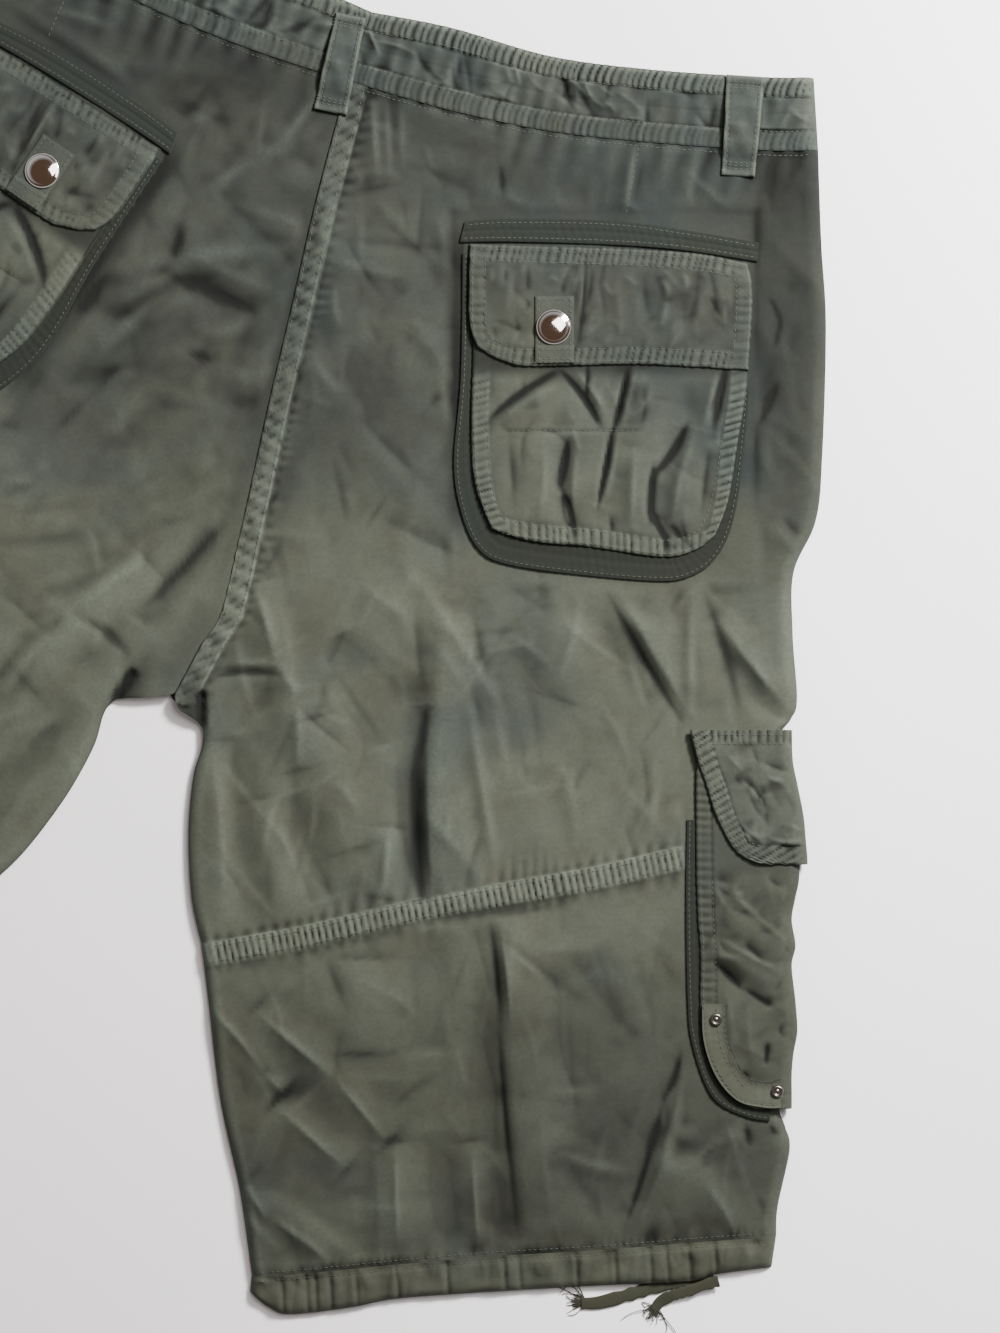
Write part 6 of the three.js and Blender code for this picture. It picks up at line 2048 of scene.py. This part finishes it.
def side_seams() -> list[Seam]:
    """Stitched rows of the side pocket."""
    body, flap = SIDE_BODY[3:, 1::-1], SIDE_FLAP[:, 1::-1]
    seams = [Seam(bench_points(body), -aside, (4, 12)) for aside in (1.8, 8.4)]
    seams += [Seam(bench_points(flap), -aside, (8, 3)) for aside in (2, 9)]
    seams += [Seam(from_bench(np.array([290, 338]), np.array([down, down])), 0) for down in (16, 21)]
    seams += [Seam(bench_points(CORNER_STRAP[:, :2]), -aside, (3, 3)) for aside in (1.6, 12)]
    seams.append(Seam(bench_points(SIDE_GUSSET[:, :2]), -1.6))
    return seams


def loop_seams(loop: BeltLoop) -> list[Seam]:
    """The edge rows and the bar tacks of a belt loop."""
    head, foot = waist_points(np.array([loop.head]))[0], waist_points(np.array([loop.foot]))[0]
    run = foot - head
    across = np.array([-run[1], run[0]]) / np.linalg.norm(run)
    edges = [np.array([head + k * across * loop.width / 2, foot + k * across * loop.width_end / 2])
             for k in (-1, 1)]
    seams = [Seam(points, aside, (3, 3)) for points, aside in zip(edges, (-2.4, 2.4))]
    for share in (0.07, 0.1, 0.13, 0.87, 0.9, 0.93):
        middle = head + run * share
        seams.append(Seam(np.array([middle - across * 8, middle + across * 8]), 0, (0, 0)))
    return seams


TAPES = ("pocket_top_tape", "pocket_gusset", "side_gusset")

# Which stitches run over which pieces, and the cut panels: what each rests on and what is sewn to it
SEWN = {
    "panel": ("back_upper", "back_lower", "waistband_back", "hem_back"),
    "back_pocket": ("pocket_top_tape", "pocket_gusset", "pocket_body", "pocket_flap", "pocket_snap_tab"),
    "side_pocket": ("side_gusset", "side_pocket", "side_flap", "side_corner_strap"),
    "belt_loop": ("belt_loop",),
}
PANELS = {
    "back_upper": (("front",), ("waistband_back", "pocket_top_tape", "pocket_gusset", "belt_loop",
                                "belt_loop_stitches", "panel_stitches")),
    "back_lower": (("front",), ("hem_back",)),
    "front": ((), ("waistband_front", "hem_front")),
    "pocket_body": (("back_upper",), ()),
    "pocket_flap": (("pocket_body",), ("pocket_snap_tab", "pocket_snap", "back_pocket_stitches")),
    "side_pocket": (("back_upper", "back_lower"), ("side_gusset", "side_corner_strap", "side_snap_upper",
                                                   "side_snap_lower", "side_pocket_stitches")),
    "side_flap": (("side_pocket",), ()),
}
WRAPPED = ("side_pocket", "side_flap")


def build_half(dresser: Dresser, side: Side) -> None:
    """Makes one half of the garment.

    Args:
        dresser: gives the pieces their finish.
        side: which half.
    """
    fine = side is Side.RIGHT
    word = side.word
    fronts = Fronts(side)
    pocket = BackPocket(side, 1.0 if fine else 1.6)
    loop = BeltLoop((203, 417), (215, 364.5), 20.5, 18, 0)
    trims = 0.9 if fine else 1.5
    shells = dict(zip(("back_upper", "back_lower"), BackPanels(side, 1.45 if fine else 2.2).shells()))
    shells |= {
        "waistband_back": Waistband(side, trims).shell(), "hem_back": Hem(side, trims).shell(),
        "front": fronts.panel(), "waistband_front": fronts.waistband(), "hem_front": fronts.hem(),
        "pocket_top_tape": pocket.top_tape(), "pocket_gusset": pocket.gusset(), "pocket_body": pocket.body(),
        "pocket_flap": pocket.flap(), "pocket_snap_tab": pocket.tab(),
        "belt_loop": loop.shell(f"belt_loop_cloth_{word}", side)}
    shells |= SidePocket(side, 1.0 if fine else 1.6).shells()
    made = {node: dresser.cloth(shell, f"{node}_{word}", Slot.TAPE if node in TAPES else Slot.TWILL)
            for node, shell in shells.items()}
    rows = {"panel": panel_seams(side), "back_pocket": pocket_seams(), "side_pocket": side_seams(),
            "belt_loop": loop_seams(loop)}
    for name, under in SEWN.items():
        stitching = Stitching(f"{name}_stitches_{word}", side, rows[name])
        made[f"{name}_stitches"] = dresser.sew(stitching, [made[node] for node in under])
    across, down, _, _ = SNAP_CAP
    on_flap = float(pocket_face(np.array(across), np.array(down))) + 3 * SEAM_GAP + POCKET_WALL + TAPE_WALL
    cap = Snap(f"pocket_snap_cap_{word}", across, down, on_flap, CAP_PROFILE)
    made["pocket_snap"] = dresser.dress(cap.build(side), Slot.SNAP, f"pocket_snap_{word}")
    on_side = BODY_TOP + 2 * SEAM_GAP + TAPE_WALL
    for name, (across, down) in SIDE_SNAPS.items():
        ring = Snap(f"side_snap_{name}_ring_{word}", across, down, on_side, RING_PROFILE)
        made[f"side_snap_{name}"] = dresser.dress(ring.build(side), Slot.SNAP, f"side_snap_{name}_{word}")
        made[f"side_snap_{name}"].data.materials[0] = dresser.aged_snap
    for node, (under, sewn) in PANELS.items():
        cut = Cut.of(shells[node].outer, node in WRAPPED)


def main() -> None:
    """Builds the scene."""
    logging.basicConfig(level=logging.INFO, format="%(message)s")
    studio = Studio()
    studio.camera()
    dresser = Dresser()
    build_cords(dresser)
    centre = BeltLoop((-10, 386), (-5.5, 333), 16.5, 18, 0.8)
    strap = dresser.cloth(centre.shell("belt_loop_cloth_centre", Side.RIGHT), "belt_loop_centre")
    rows = dresser.sew(Stitching("centre_loop_stitches", Side.RIGHT, loop_seams(centre)), [strap])
    fly = [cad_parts[name] for name in ("fly_placket", "waist_button")]
    for node, slot in zip(fly, (Slot.TWILL, Slot.BUTTON)):
        node.data.materials.clear()
        node.data.materials.append(dresser.materials[slot])
    build_half(dresser, Side.RIGHT)
    build_half(dresser, Side.LEFT)
    studio.lights()
    studio.floor()


if __name__ == "__main__":
    main()
